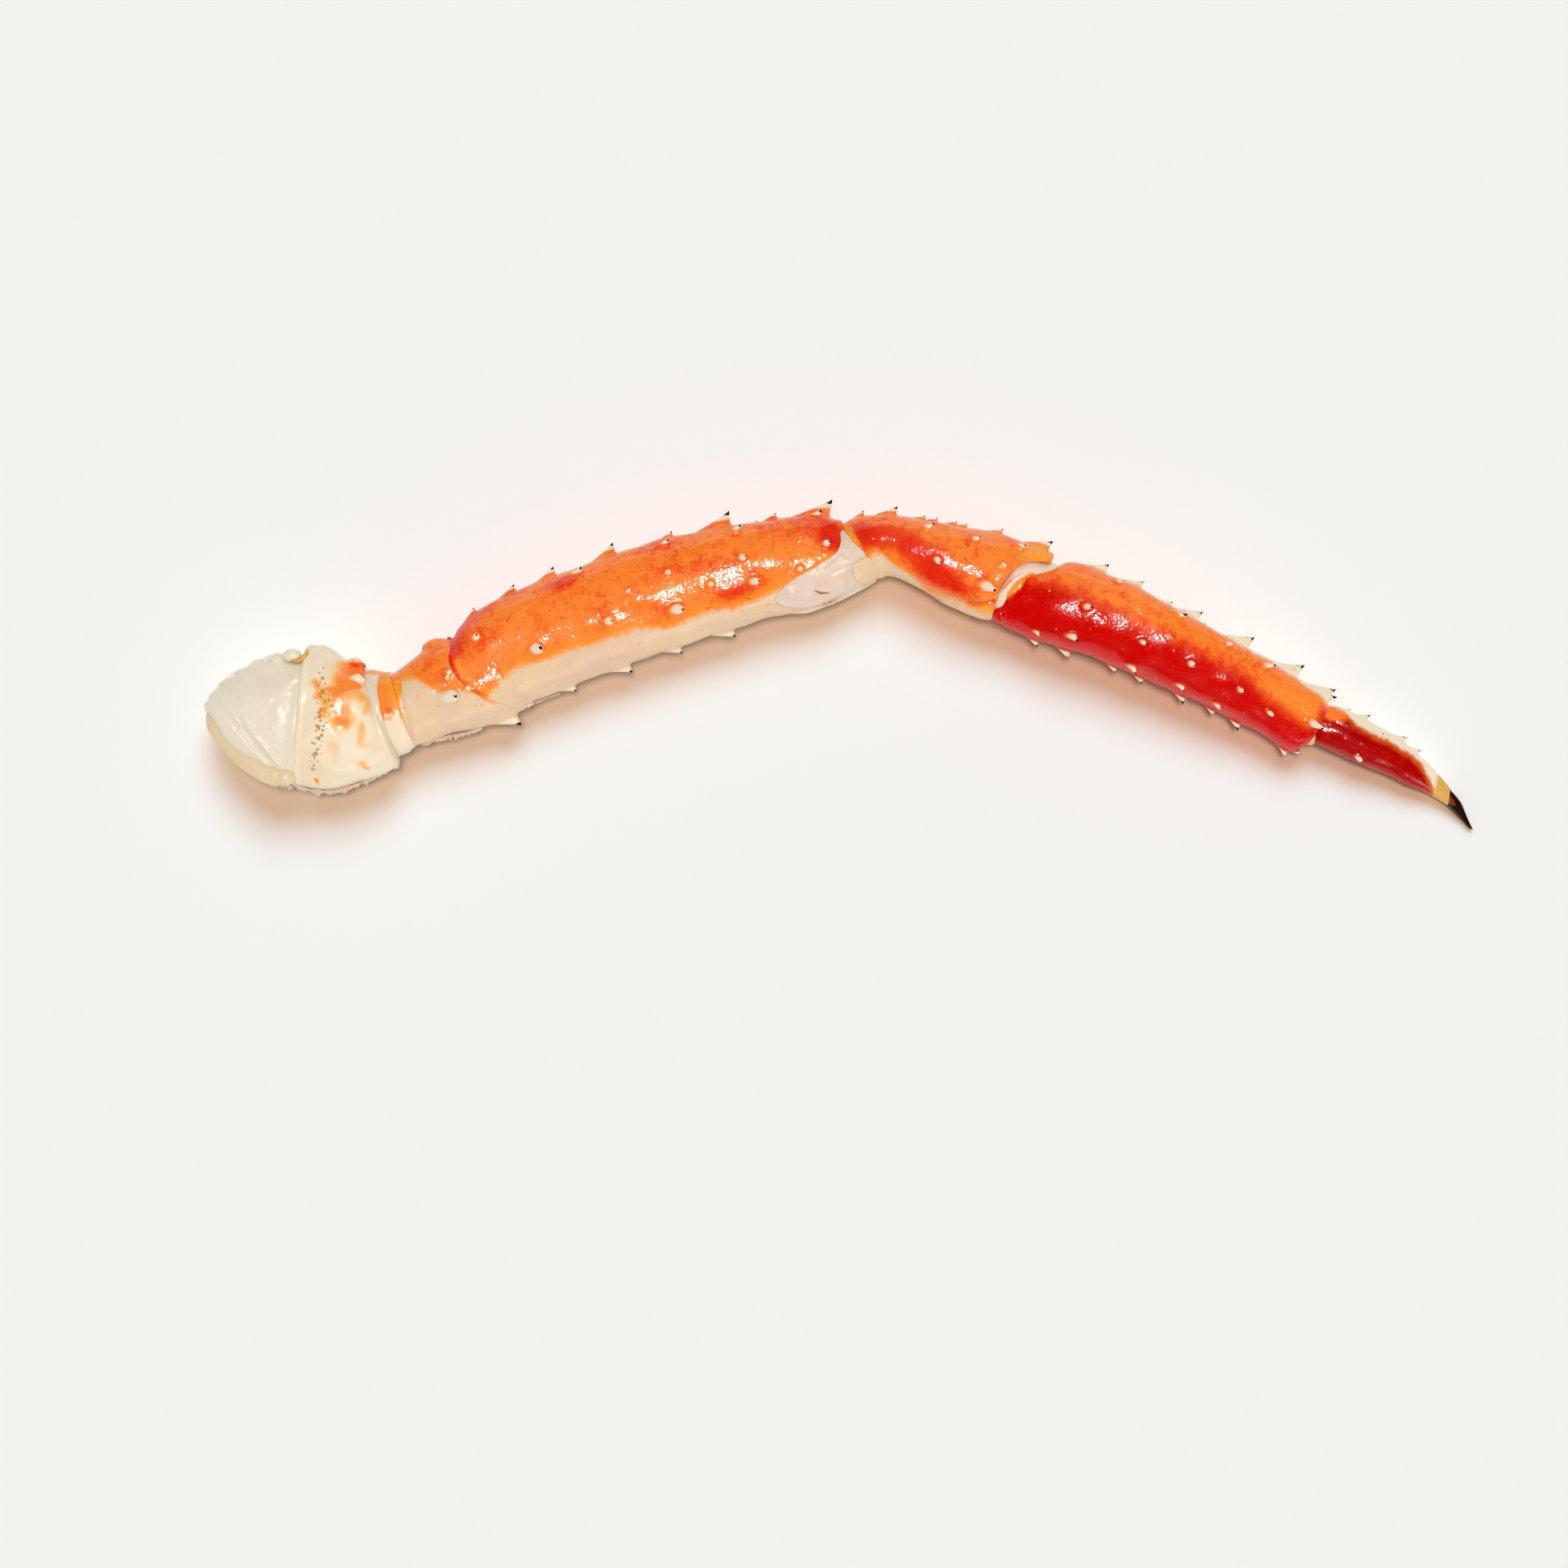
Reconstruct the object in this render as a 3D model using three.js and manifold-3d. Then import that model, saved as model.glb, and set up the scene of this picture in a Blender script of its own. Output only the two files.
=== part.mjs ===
// A cooked king crab leg lying on its side: shoulder, coxa, basis, ischium, merus, carpus, propodus
// and dactyl, with the soft membranes that close the joints between them.
//
// Millimetres, +Z up, resting on z = 0. The leg is bent as an arch in plan: the shoulder lies at -X,
// the claw at +X, and the extensor (outer) side of the arch faces +Y.
//
// Every shell is a loft over a few ribs. A rib is an upright oval section of the leg, stated as
//   [extensor x, extensor y, flexor x, flexor y, thickness, height of its centre above the table]
// Spines are set on a shell by how far along it they stand (0 at its shoulder end, 1 at its claw end)
// and by how far round: 0 degrees is the extensor ridge, 90 faces up, 180 is the flexor ridge.
import * as THREE from "three";
import { mergeVertices } from "three/addons/utils/BufferGeometryUtils.js";
import Module from "manifold-3d";

const JOINT_GAP = 0.3; // clearance between touching pieces
const SKIN_INSET = 0.9; // how far a joint membrane lies below the shell round it
const WINDOW_FLOOR = 11; // joint windows open the upper face only, down to this height
const WINDOW_TOP = 60; // above every shell
const TABLE = 1000; // size of the block below z = 0 that levels the underside
const SQUARENESS = 2.2; // of a rib: 2 is an ellipse, more is boxier
const SIDES = 20; // of a shell's section
const DOME_RINGS = 2; // between a shell's end rib and its pole
const SPINE_SINK = 1.2; // of a spine's foot into the shell
const CLAW_LEAN = 0.75; // how far a spine leans towards the claw for each unit it rises
const LARGE_FOOT = 1.7; // a spine with a wider foot has more sides and a curved flank

const COLOURS = {
  shell: 0xe8602c,
  shellDeep: 0xcf2f16,
  bone: 0xe9dcc0,
  membrane: 0xe6d9d4,
  flesh: 0xe9e6d6,
  socket: 0xe3cd86,
};

const wasm = await Module();
wasm.setup();

// ---------------------------------------------------------------- shells

const SHELLS = {
  shoulder: {
    steps: 8,
    domes: [2, 1.5],
    ribs: [
      [-217.5, -12.5, -217.5, -17.5, 12, 17],
      [-213, -8, -214, -24.5, 20, 16.5],
      [-207.5, -3.5, -209, -31, 25, 16.5],
      [-196, 1.5, -197, -39.5, 31, 16],
      [-184.5, 3.5, -188, -41.5, 32.5, 16],
    ],
  },
  coxa: {
    steps: 9,
    domes: [1.2, 2],
    ribs: [
      [-182.5, 6, -187.5, -41.5, 32, 16],
      [-177, 6, -180.5, -43, 34, 16.5],
      [-171, 2, -172.5, -42.5, 34, 16.5],
      [-164.5, -2, -159, -38.5, 31, 15.5],
      [-162.5, -9.5, -152.5, -35.5, 26.5, 15],
    ],
  },
  hip: {
    steps: 2,
    domes: [2, 2],
    ribs: [
      [-166, -1.5, -160, -34.5, 26, 15],
      [-155, -3, -148.5, -30.5, 22, 15],
    ],
  },
  basis: {
    steps: 2,
    domes: [1, 0.6],
    ribs: [
      [-162, -5, -152.5, -31, 22, 15],
      [-158.5, -3.5, -149.5, -30, 24, 15],
      [-155.5, -3.5, -147, -28, 23.5, 15],
    ],
  },
  ischium: {
    steps: 9,
    domes: [0.6, 1.5],
    ribs: [
      [-155, -3.5, -146.5, -28, 23.5, 15],
      [-147, 2, -134.5, -24, 26, 14.5],
      [-139.5, 8, -122, -21, 27, 14],
      [-134, 8, -109.5, -16, 25, 14],
    ],
  },
  merus: {
    steps: 26,
    domes: [5, 1],
    ribs: [
      [-134.5, 7, -111, -15, 21, 14],
      [-131, 13.5, -106.5, -13, 24.5, 14],
      [-120, 21.5, -97, -9, 27.5, 14],
      [-95.5, 31.5, -76, -1, 28.5, 14],
      [-66, 42, -51, 7.5, 28.5, 14],
      [-33, 48.5, -25, 16, 27.5, 14],
      [-10, 51.5, -2.5, 21, 24.5, 14],
      [-1, 49.5, 8, 26.5, 20, 14],
    ],
  },
  knee: {
    steps: 8,
    domes: [1, 2],
    ribs: [
      [-33, 48.5, -25, 16, 27.5, 14],
      [-14, 50, -7.5, 19, 25, 14],
      [-2, 48.5, 6, 25.5, 22, 14],
      [1.5, 47, 13.5, 30, 20, 14],
    ],
  },
  carpus: {
    steps: 15,
    domes: [1, 2.5],
    ribs: [
      [0.5, 48, 13, 29.5, 18, 14],
      [6.5, 51, 17.5, 30.5, 22, 14],
      [21, 51, 27, 26.5, 26.5, 14],
      [41, 47.5, 38, 20, 28.2, 14],
      [58, 44, 47.5, 15.5, 27, 14],
      [73, 38, 53, 15, 21, 14],
    ],
  },
  wrist: {
    steps: 3,
    domes: [3, 1],
    ribs: [
      [64, 38.5, 50.5, 16.5, 18, 14],
      [76, 33.5, 56.5, 14.5, 19, 14],
    ],
  },
  propodus: {
    steps: 23,
    domes: [3.4, 1.5],
    ribs: [
      [74, 33, 54, 15.5, 18.5, 14],
      [79, 35, 58.5, 12, 22, 14],
      [88, 33, 68.5, 8, 25.5, 14],
      [104.5, 25.5, 87.5, 2, 28, 13.8],
      [129, 12, 116.5, -10, 26, 12.7],
      [152.5, -1, 142.5, -22.5, 22.5, 11],
      [165.5, -9, 155, -30, 18.5, 10],
      [169, -13.5, 159.5, -29, 15, 9.8],
    ],
  },
  clawSkin: {
    steps: 2,
    domes: [1, 1.5],
    ribs: [
      [160, -17, 157.5, -27.5, 10, 9.6],
      [166, -16, 163, -28, 9.4, 9.6],
    ],
  },
  dactyl: {
    steps: 16,
    sides: 16,
    domes: [3, 0.8],
    ribs: [
      [167, -14, 165, -28, 11.5, 9.6],
      [173.5, -15, 172, -31, 13, 9.2],
      [187, -21.5, 183.5, -36, 13, 8.2],
      [199.5, -30, 193, -40, 11, 6.8],
      [209.5, -40, 206, -46, 7, 4.6],
      [215, -47.5, 213, -50.5, 4, 2.7],
      [218, -54.5, 217.5, -55, 1.6, 1.4],
    ],
  },
};

// ---------------------------------------------------------------- what lies in and on the shells

// Plan outlines of the two places where the upper face is open and the joint skin shows.
const KNEE_WINDOW = [
  [-24, 20], [-19.5, 27], [-8, 33.5], [0.5, 39.5], [0, 48.5], [20, 60], [30, 30], [8.5, 24.5], [-13, 18.5],
];
const WRIST_WINDOW = [
  [73, 34], [67.5, 35.5], [61, 34.5], [58, 32], [55.5, 28], [54, 24.5], [55.5, 21.5], [66, 14], [82, 26],
];
const KNEE_PLATE = [
  [3.5, 33.5], [7.5, 36], [12, 37], [15, 31], [8.5, 27], [4.5, 29],
];

const BAR_PATH = [
  [-217, -15.5, 19], [-213.5, -22.5, 21.5], [-206.5, -31, 23], [-198.5, -36.5, 24], [-190.5, -39.5, 25],
];
const BAR_SIZE = [4.2, 3.2];
const PAD = { at: [-187, 2.5, 24.5], size: [4.6, 3, 3.4] };
const HIP_KNOB = { at: [-165, -7, 27.5], size: [4.4, 2.8, 3] };

// Rows of spines: round and along as above, tall above the shell, foot the radius there. A single
// number holds for the whole row. Under 0 and over 180 degrees they stand on the hidden, lower face.
const SPINES = {
  ischium: [
    { round: [8, 72, 98, 96], along: [0.87, 0.63, 0.5, 0.74],
      tall: [1.6, 1.4, 3.4, 1.2], foot: [1.8, 1.4, 3.2, 1.3] },
    { round: 178, along: [0.88], tall: 3.4, foot: 2.6 },
    { round: -30, along: [0.4, 0.75], tall: 2, foot: 1.6 },
    { round: 216, along: [0.5, 0.8], tall: 1.6, foot: 1.4 },
  ],
  merus: [
    { round: 3, along: [0.08, 0.18, 0.28, 0.43, 0.575, 0.7, 0.825, 0.965],
      tall: [2.6, 3.6, 4.2, 4.4, 2.4, 6.4, 2.2, 6.6], foot: [1.6, 1.9, 2.2, 2.3, 1.5, 3.2, 1.3, 3.2] },
    { round: [30, 33, 34, 24], along: [0.345, 0.56, 0.73, 0.935],
      tall: [2, 2.4, 2.8, 3], foot: [2.2, 1.5, 1.6, 1.7] },
    { round: [57, 79, 76, 75, 98], along: [0.05, 0.43, 0.725, 0.94, 0.86],
      tall: [1.9, 1.2, 2.3, 2.4, 1.4], foot: [1.8, 1.1, 1.7, 1.9, 1.3] },
    { round: [98, 98, 73, 109, 94, 102], along: [0.15, 0.35, 0.54, 0.525, 0.63, 0.74],
      tall: [3.1, 2.2, 1.6, 3, 1.3, 2.7], foot: [3, 2, 1.5, 2.7, 1.4, 2.1] },
    { round: 180, along: [0.025, 0.16, 0.32, 0.475, 0.63],
      tall: [1.8, 2.6, 3.4, 2.4, 3.2], foot: [1.5, 1.9, 2.4, 1.7, 2.2] },
    { round: -28, along: [0.12, 0.24, 0.37, 0.5, 0.63, 0.77, 0.9],
      tall: [2.2, 3, 2.4, 3.2, 2.2, 3, 3.4], foot: [1.6, 2, 1.6, 2, 1.5, 1.9, 2] },
    { round: -52, along: [0.17, 0.32, 0.45, 0.58, 0.71, 0.84], tall: 1.6, foot: 1.3 },
    { round: 222, along: [0.1, 0.25, 0.4, 0.56, 0.7], tall: 2, foot: 1.6 },
  ],
  carpus: [
    { round: 3, along: [0.1, 0.25, 0.4, 0.46, 0.55, 0.6, 0.765, 0.955],
      tall: [2.4, 3.8, 1.8, 1.8, 2, 1.8, 2.6, 4.8], foot: [1.5, 2.2, 1.3, 1.2, 1.3, 1.2, 1.8, 2.5] },
    { round: [45, 47, 35], along: [0.41, 0.655, 0.88], tall: [2.8, 2, 1.6], foot: [1.8, 1.5, 1.6] },
    { round: [93, 104, 75], along: [0.455, 0.79, 0.83], tall: [2, 3.4, 1.2], foot: [1.8, 2.8, 1.1] },
    { round: -30, along: [0.16, 0.34, 0.52, 0.7, 0.88], tall: [2, 2.6, 2.2, 2.6, 3], foot: 1.6 },
    { round: 212, along: [0.3, 0.55, 0.8], tall: 1.6, foot: 1.3 },
  ],
  propodus: [
    { round: 3, along: [0.15, 0.275, 0.4, 0.49, 0.675, 0.86, 0.975],
      tall: [3, 2.8, 1.2, 3.4, 4.4, 4.6, 4.4], foot: [1.9, 1.9, 1, 2.2, 2.6, 2.5, 2] },
    { round: [34, 39, 43, 45, 15], along: [0.22, 0.45, 0.625, 0.765, 0.985],
      tall: [2, 2.6, 2, 3, 3.6], foot: [1.3, 1.6, 1.3, 1.8, 1.7] },
    { round: [88, 101, 99, 101, 111, 90], along: [0.18, 0.39, 0.55, 0.725, 0.84, 0.97],
      tall: [2.4, 1.8, 2, 1.3, 1.9, 4], foot: [1.7, 1.4, 1.5, 1.1, 1.4, 2] },
    { round: [146, 131, 147, 142, 146], along: [0.105, 0.2, 0.405, 0.56, 0.685],
      tall: [1.6, 2.6, 2.6, 2.2, 2], foot: [1.3, 2, 1.9, 1.6, 1.5] },
    { round: 182, along: [0.12, 0.215, 0.365, 0.45, 0.585, 0.685, 0.77, 0.945, 0.985],
      tall: [2.4, 3.2, 2.2, 2.2, 2.8, 2, 2.8, 2.4, 2], foot: [1.6, 2, 1.6, 1.6, 1.8, 1.4, 1.8, 1.5, 1.3] },
    { round: -30, along: [0.12, 0.25, 0.39, 0.53, 0.67, 0.81, 0.93],
      tall: [2.2, 2.8, 2.4, 3, 2.6, 3, 2.8], foot: 1.7 },
    { round: 216, along: [0.16, 0.3, 0.45, 0.6, 0.75, 0.9], tall: [2, 2.4, 2, 2.4, 2, 2.2], foot: 1.5 },
  ],
  dactyl: [
    { round: 8, along: [0.145, 0.24, 0.44, 0.53], tall: [0.9, 2, 2.2, 1.4], foot: [0.8, 1.1, 1.2, 1] },
    { round: [56, 115, 140], along: [0.32, 0.05, 0.235], tall: [1.8, 1.8, 1.9], foot: [1.2, 1.4, 1.7] },
    { round: -34, along: [0.2, 0.36, 0.5], tall: 1.6, foot: 1.1 },
  ],
};

// ---------------------------------------------------------------- lofts

// The rib at place t of a list of ribs, on a smooth curve through all of them.
function ribAt(ribs, t) {
  const last = ribs.length - 1;
  const i = Math.min(Math.floor(t), last - 1);
  const f = t - i;
  const beyond = (end, inner) => end.map((value, k) => 2 * value - inner[k]);
  const before = i > 0 ? ribs[i - 1] : beyond(ribs[0], ribs[1]);
  const after = i + 2 <= last ? ribs[i + 2] : beyond(ribs[last], ribs[last - 1]);
  return before.map((a, k) => {
    const [b, c, d] = [ribs[i][k], ribs[i + 1][k], after[k]];
    return b + 0.5 * f * (c - a + f * (2 * a - 5 * b + 4 * c - d + f * (3 * (b - c) + d - a)));
  });
}

// A rib as its centre, its two half axes and the direction along the leg, with both halves grown.
function frameOf([extX, extY, flexX, flexY, thick, height], grow = 0) {
  const ridge = new THREE.Vector3(extX - flexX, extY - flexY, 0);
  const width = ridge.length() / 2 + grow;
  ridge.normalize();
  return {
    centre: new THREE.Vector3((extX + flexX) / 2, (extY + flexY) / 2, height),
    ridge,
    width,
    depth: thick / 2 + grow,
    axis: new THREE.Vector3(ridge.y, -ridge.x, 0),
  };
}

// The point of a rib's outline at an angle round it.
function outlinePoint(frame, degrees, scale = 1, push = 0) {
  const angle = THREE.MathUtils.degToRad(degrees);
  const bulge = (value) => Math.sign(value) * Math.abs(value) ** (2 / SQUARENESS);
  return frame.centre
    .clone()
    .addScaledVector(frame.ridge, frame.width * scale * bulge(Math.cos(angle)))
    .addScaledVector(frame.axis, push)
    .add(new THREE.Vector3(0, 0, frame.depth * scale * bulge(Math.sin(angle))));
}

// A closed solid over a shell's ribs, with domed ends.
function loft({ ribs, steps, domes, sides = SIDES }, grow = 0) {
  const last = ribs.length - 1;
  const ends = [frameOf(ribs[0], grow), frameOf(ribs[last], grow)];
  const depths = [-domes[0] - grow, domes[1] + grow];
  const ring = (frame, scale, push) =>
    Array.from({ length: sides }, (_, k) => outlinePoint(frame, (360 * k) / sides, scale, push));
  const dome = (end) =>
    Array.from({ length: DOME_RINGS - 1 }, (_, k) => {
      const turn = ((k + 1) / DOME_RINGS) * (Math.PI / 2);
      return ring(ends[end], Math.cos(turn), depths[end] * Math.sin(turn));
    });
  const barrel = Array.from({ length: steps + 1 }, (_, n) =>
    ring(frameOf(ribAt(ribs, (last * n) / steps), grow), 1, 0),
  );
  const poles = ends.map((frame, k) => frame.centre.clone().addScaledVector(frame.axis, depths[k]));
  return closedSkin([...dome(0).reverse(), ...barrel, ...dome(1)], ...poles);
}

// A solid from rings of points, closed at both ends by a pole.
function closedSkin(rings, startPole, endPole) {
  const sides = rings[0].length;
  const points = [startPole, ...rings.flat(), endPole];
  const last = points.length - 1;
  const at = (ring, k) => 1 + ring * sides + (k % sides);
  const faces = [];
  for (let k = 0; k < sides; k++) {
    faces.push(0, at(0, k), at(0, k + 1));
    for (let ring = 0; ring < rings.length - 1; ring++) {
      faces.push(at(ring, k), at(ring + 1, k), at(ring + 1, k + 1));
      faces.push(at(ring, k), at(ring + 1, k + 1), at(ring, k + 1));
    }
    faces.push(last, at(rings.length - 1, k + 1), at(rings.length - 1, k));
  }
  const geometry = new THREE.BufferGeometry().setFromPoints(points);
  geometry.setIndex(faces);
  return solidOf(geometry);
}

// A closed three.js geometry as a solid, turned right side out if it needs it.
function solidOf(geometry) {
  const bare = geometry.clone();
  bare.deleteAttribute("normal");
  bare.deleteAttribute("uv");
  const merged = mergeVertices(bare, 1e-4);
  const corners = merged.index.array;
  const make = () =>
    new wasm.Manifold(
      new wasm.Mesh({
        numProp: 3,
        vertProperties: new Float32Array(merged.attributes.position.array),
        triVerts: new Uint32Array(corners),
      }),
    );
  const made = make();
  if (made.volume() > 0) return made;
  for (let i = 0; i < corners.length; i += 3) [corners[i], corners[i + 1]] = [corners[i + 1], corners[i]];
  return make();
}

// An upright prism over a plan outline, from one height to the top of the windows.
function prism(outline, floor) {
  const shape = new THREE.Shape(outline.map(([x, y]) => new THREE.Vector2(x, y)));
  const block = new THREE.ExtrudeGeometry(shape, { depth: WINDOW_TOP - floor, bevelEnabled: false });
  return solidOf(block.translate(0, 0, floor));
}

// A plan outline whose every edge is moved outwards by a distance, or inwards if it is negative.
function spread(outline, distance) {
  const at = (k) => new THREE.Vector2(...outline[(k + outline.length) % outline.length]);
  const turn = Math.sign(THREE.ShapeUtils.area(outline.map((_, k) => at(k))));
  const outward = (from, to) =>
    new THREE.Vector2(to.y - from.y, from.x - to.x).normalize().multiplyScalar(turn);
  return outline.map((_, k) => {
    const before = outward(at(k - 1), at(k));
    const after = outward(at(k), at(k + 1));
    const mitre = distance / (1 + before.dot(after));
    return at(k).addScaledVector(before.add(after), mitre).toArray();
  });
}

function ellipsoid({ at, size }, grow = 0) {
  const radii = size.map((radius) => radius + grow);
  return solidOf(new THREE.SphereGeometry(1, 12, 8).scale(...radii).translate(...at));
}

// ---------------------------------------------------------------- spines

// Turns a share of a shell's true length into a place on its ribs.
function placer(ribs) {
  const samples = 120;
  const places = Array.from({ length: samples + 1 }, (_, n) => ((ribs.length - 1) * n) / samples);
  const centres = places.map((t) => frameOf(ribAt(ribs, t)).centre);
  const lengths = [0];
  for (let n = 1; n <= samples; n++) lengths.push(lengths[n - 1] + centres[n].distanceTo(centres[n - 1]));
  return (share) => {
    const target = share * lengths[samples];
    const n = Math.max(lengths.findIndex((value) => value >= target), 1);
    const part = (target - lengths[n - 1]) / (lengths[n] - lengths[n - 1]);
    return places[n - 1] + part * (places[n] - places[n - 1]);
  };
}

// A hooked cone: a long slope on its shoulder side, a steep one on its claw side, its foot sunk in.
function spine(ribs, t, round, tall, foot) {
  const last = ribs.length - 1;
  const at = (place, degrees) =>
    outlinePoint(frameOf(ribAt(ribs, THREE.MathUtils.clamp(place, 0, last))), degrees);
  const root = at(t, round);
  const across = at(t, round + 4).sub(root).normalize();
  const forward = at(t + 0.02, round).sub(at(t - 0.02, round)).normalize();
  const out = new THREE.Vector3().crossVectors(across, forward).normalize();
  const large = foot > LARGE_FOOT;
  const sides = large ? 6 : 5;
  const lift = (rise) =>
    root.clone().addScaledVector(out, rise).addScaledVector(forward, CLAW_LEAN * Math.max(rise, 0));
  const ring = (rise, size) =>
    Array.from({ length: sides }, (_, k) => {
      const angle = (2 * Math.PI * k) / sides;
      const stretch = Math.cos(angle) < 0 ? 1.7 : 0.85;
      return lift(rise)
        .addScaledVector(forward, size * foot * Math.cos(angle) * stretch)
        .addScaledVector(across, size * foot * Math.sin(angle));
    });
  const rings = large ? [ring(-SPINE_SINK, 1.25), ring(0.4 * tall, 0.45)] : [ring(-SPINE_SINK, 1.5)];
  return closedSkin(rings, lift(-SPINE_SINK), lift(tall));
}

function spinesOn(name) {
  const { ribs } = SHELLS[name];
  const placeAt = placer(ribs);
  const pick = (value, k) => (Array.isArray(value) ? value[k] : value);
  return SPINES[name].flatMap(({ round, along, tall, foot }) =>
    along.map((share, k) => spine(ribs, placeAt(share), pick(round, k), pick(tall, k), pick(foot, k))),
  );
}

// ---------------------------------------------------------------- the pieces

const shell = (name, grow = 0) => loft(SHELLS[name], grow);
const roomFor = (name) => shell(name, JOINT_GAP);
const cut = (solid, ...tools) => tools.reduce((left, tool) => left.subtract(tool), solid);
const spined = (name, ...tools) =>
  spinesOn(name).reduce((sum, one) => sum.add(one), cut(shell(name), ...tools));

// The cream edge of the body shell, a bent bar along the lower left rim of the shoulder.
function shoulderBar(grow = 0) {
  const path = new THREE.CatmullRomCurve3(BAR_PATH.map((place) => new THREE.Vector3(...place)));
  const oval = new THREE.Shape().absellipse(0, 0, BAR_SIZE[0] + grow, BAR_SIZE[1] + grow, 0, 2 * Math.PI);
  return solidOf(new THREE.ExtrudeGeometry(oval, { steps: 9, extrudePath: path, curveSegments: 5 }));
}

function kneeMembrane() {
  const sleeve = shell("knee", -SKIN_INSET);
  const inWindow = sleeve.intersect(prism(spread(KNEE_WINDOW, -JOINT_GAP), WINDOW_FLOOR + JOINT_GAP));
  const pastMerus = sleeve.subtract(roomFor("merus"));
  return cut(inWindow.add(pastMerus), roomFor("carpus"), prism(spread(KNEE_PLATE, JOINT_GAP), WINDOW_FLOOR));
}

function wristMembrane() {
  const disc = shell("wrist");
  const inWindow = disc.intersect(prism(spread(WRIST_WINDOW, -JOINT_GAP), WINDOW_FLOOR + JOINT_GAP));
  return cut(inWindow.add(disc.subtract(roomFor("carpus"))), roomFor("propodus"));
}

const PIECES = {
  shoulder: [
    "flesh",
    () => cut(shell("shoulder"), shoulderBar(JOINT_GAP), ellipsoid(PAD, JOINT_GAP), roomFor("coxa")),
  ],
  shoulder_bar: ["bone", () => cut(shoulderBar(), roomFor("coxa"))],
  socket_pad: ["socket", () => cut(ellipsoid(PAD), roomFor("coxa"))],
  coxa: ["bone", () => cut(shell("coxa").add(ellipsoid(HIP_KNOB)), roomFor("basis"), roomFor("hip"))],
  hip_membrane: ["membrane", () => cut(shell("hip"), roomFor("basis"), roomFor("ischium"))],
  basis: ["bone", () => cut(shell("basis"), roomFor("ischium"))],
  ischium: ["shell", () => spined("ischium", roomFor("merus"))],
  merus: ["shell", () => spined("merus", prism(KNEE_WINDOW, WINDOW_FLOOR))],
  knee_membrane: ["membrane", kneeMembrane],
  knee_plate: [
    "bone",
    () => cut(shell("knee").intersect(prism(KNEE_PLATE, WINDOW_FLOOR)), roomFor("carpus")),
  ],
  carpus: [
    "shell",
    () => spined("carpus", prism(WRIST_WINDOW, WINDOW_FLOOR), roomFor("propodus"), roomFor("merus")),
  ],
  wrist_membrane: ["membrane", wristMembrane],
  propodus: ["shellDeep", () => spined("propodus", roomFor("dactyl"), roomFor("clawSkin"))],
  claw_membrane: ["membrane", () => cut(shell("clawSkin"), roomFor("dactyl"))],
  dactyl: ["shellDeep", () => spined("dactyl")],
};

// What stands above the table, without any chip that a cut has left loose.
function resting(solid) {
  const table = new THREE.BoxGeometry(TABLE, TABLE, TABLE).translate(0, 0, -TABLE / 2);
  return solid
    .subtract(solidOf(table))
    .decompose()
    .reduce((best, part) => (part.volume() > best.volume() ? part : best));
}

function meshOf(name, [finish, make]) {
  const { vertProperties, triVerts } = resting(make()).getMesh();
  const geometry = new THREE.BufferGeometry();
  geometry.setAttribute("position", new THREE.BufferAttribute(vertProperties, 3));
  geometry.setIndex(new THREE.BufferAttribute(triVerts, 1));
  const material = new THREE.MeshStandardMaterial({ color: COLOURS[finish], roughness: 0.35, metalness: 0 });
  const mesh = new THREE.Mesh(geometry, material);
  mesh.name = name;
  return mesh;
}

const leg = new THREE.Group();
for (const [name, piece] of Object.entries(PIECES)) leg.add(meshOf(name, piece));

export default leg;
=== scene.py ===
"""A cooked king crab leg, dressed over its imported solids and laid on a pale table."""

import math
import random

import bmesh
import bpy
import numpy as np
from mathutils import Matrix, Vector, noise


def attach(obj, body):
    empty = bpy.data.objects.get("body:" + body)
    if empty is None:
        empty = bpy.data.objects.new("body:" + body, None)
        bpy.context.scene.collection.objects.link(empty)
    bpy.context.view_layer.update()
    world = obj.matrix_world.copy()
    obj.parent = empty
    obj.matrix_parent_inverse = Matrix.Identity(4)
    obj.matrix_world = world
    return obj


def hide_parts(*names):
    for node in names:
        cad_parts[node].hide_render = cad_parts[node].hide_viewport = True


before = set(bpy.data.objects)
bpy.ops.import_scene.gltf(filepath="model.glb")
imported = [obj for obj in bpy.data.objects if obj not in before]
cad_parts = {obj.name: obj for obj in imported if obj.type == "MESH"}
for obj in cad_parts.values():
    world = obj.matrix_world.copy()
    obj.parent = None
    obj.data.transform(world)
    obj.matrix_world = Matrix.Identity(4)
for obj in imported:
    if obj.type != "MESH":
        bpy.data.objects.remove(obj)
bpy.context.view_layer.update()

bl_info = {
    "name": "King crab leg",
    "version": (1, 0, 0),
    "blender": (4, 5, 0),
    "location": "View3D > Sidebar > Crab leg",
    "description": "Models and finishes a cooked king crab leg around its packed solids",
    "category": "Object",
}

# Shapes are worked out in millimetres and written to Blender in metres.
MM = 0.001
BODY = "root"

# ------------ sizes of the solids

SEAM = 0.7  # how far neighbours run into each other, so that no gap shows between them
DEEP_SEAM = 1.5  # the same for the soft flesh
SKIN_INSET = 0.9  # how far a joint skin lies below the shell round it
WINDOW_FLOOR = 11.0  # joint windows open the upper face only, down to this height
WINDOW_TOP = 60.0  # well above every piece
TABLE_BLOCK = 600.0  # side of the block that trims the pieces level with the table
MID_HEIGHT = 14.0  # of the leg's middle above the table
SQUARENESS = 2.2  # of a rib: 2 is an ellipse, more is boxier

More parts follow.
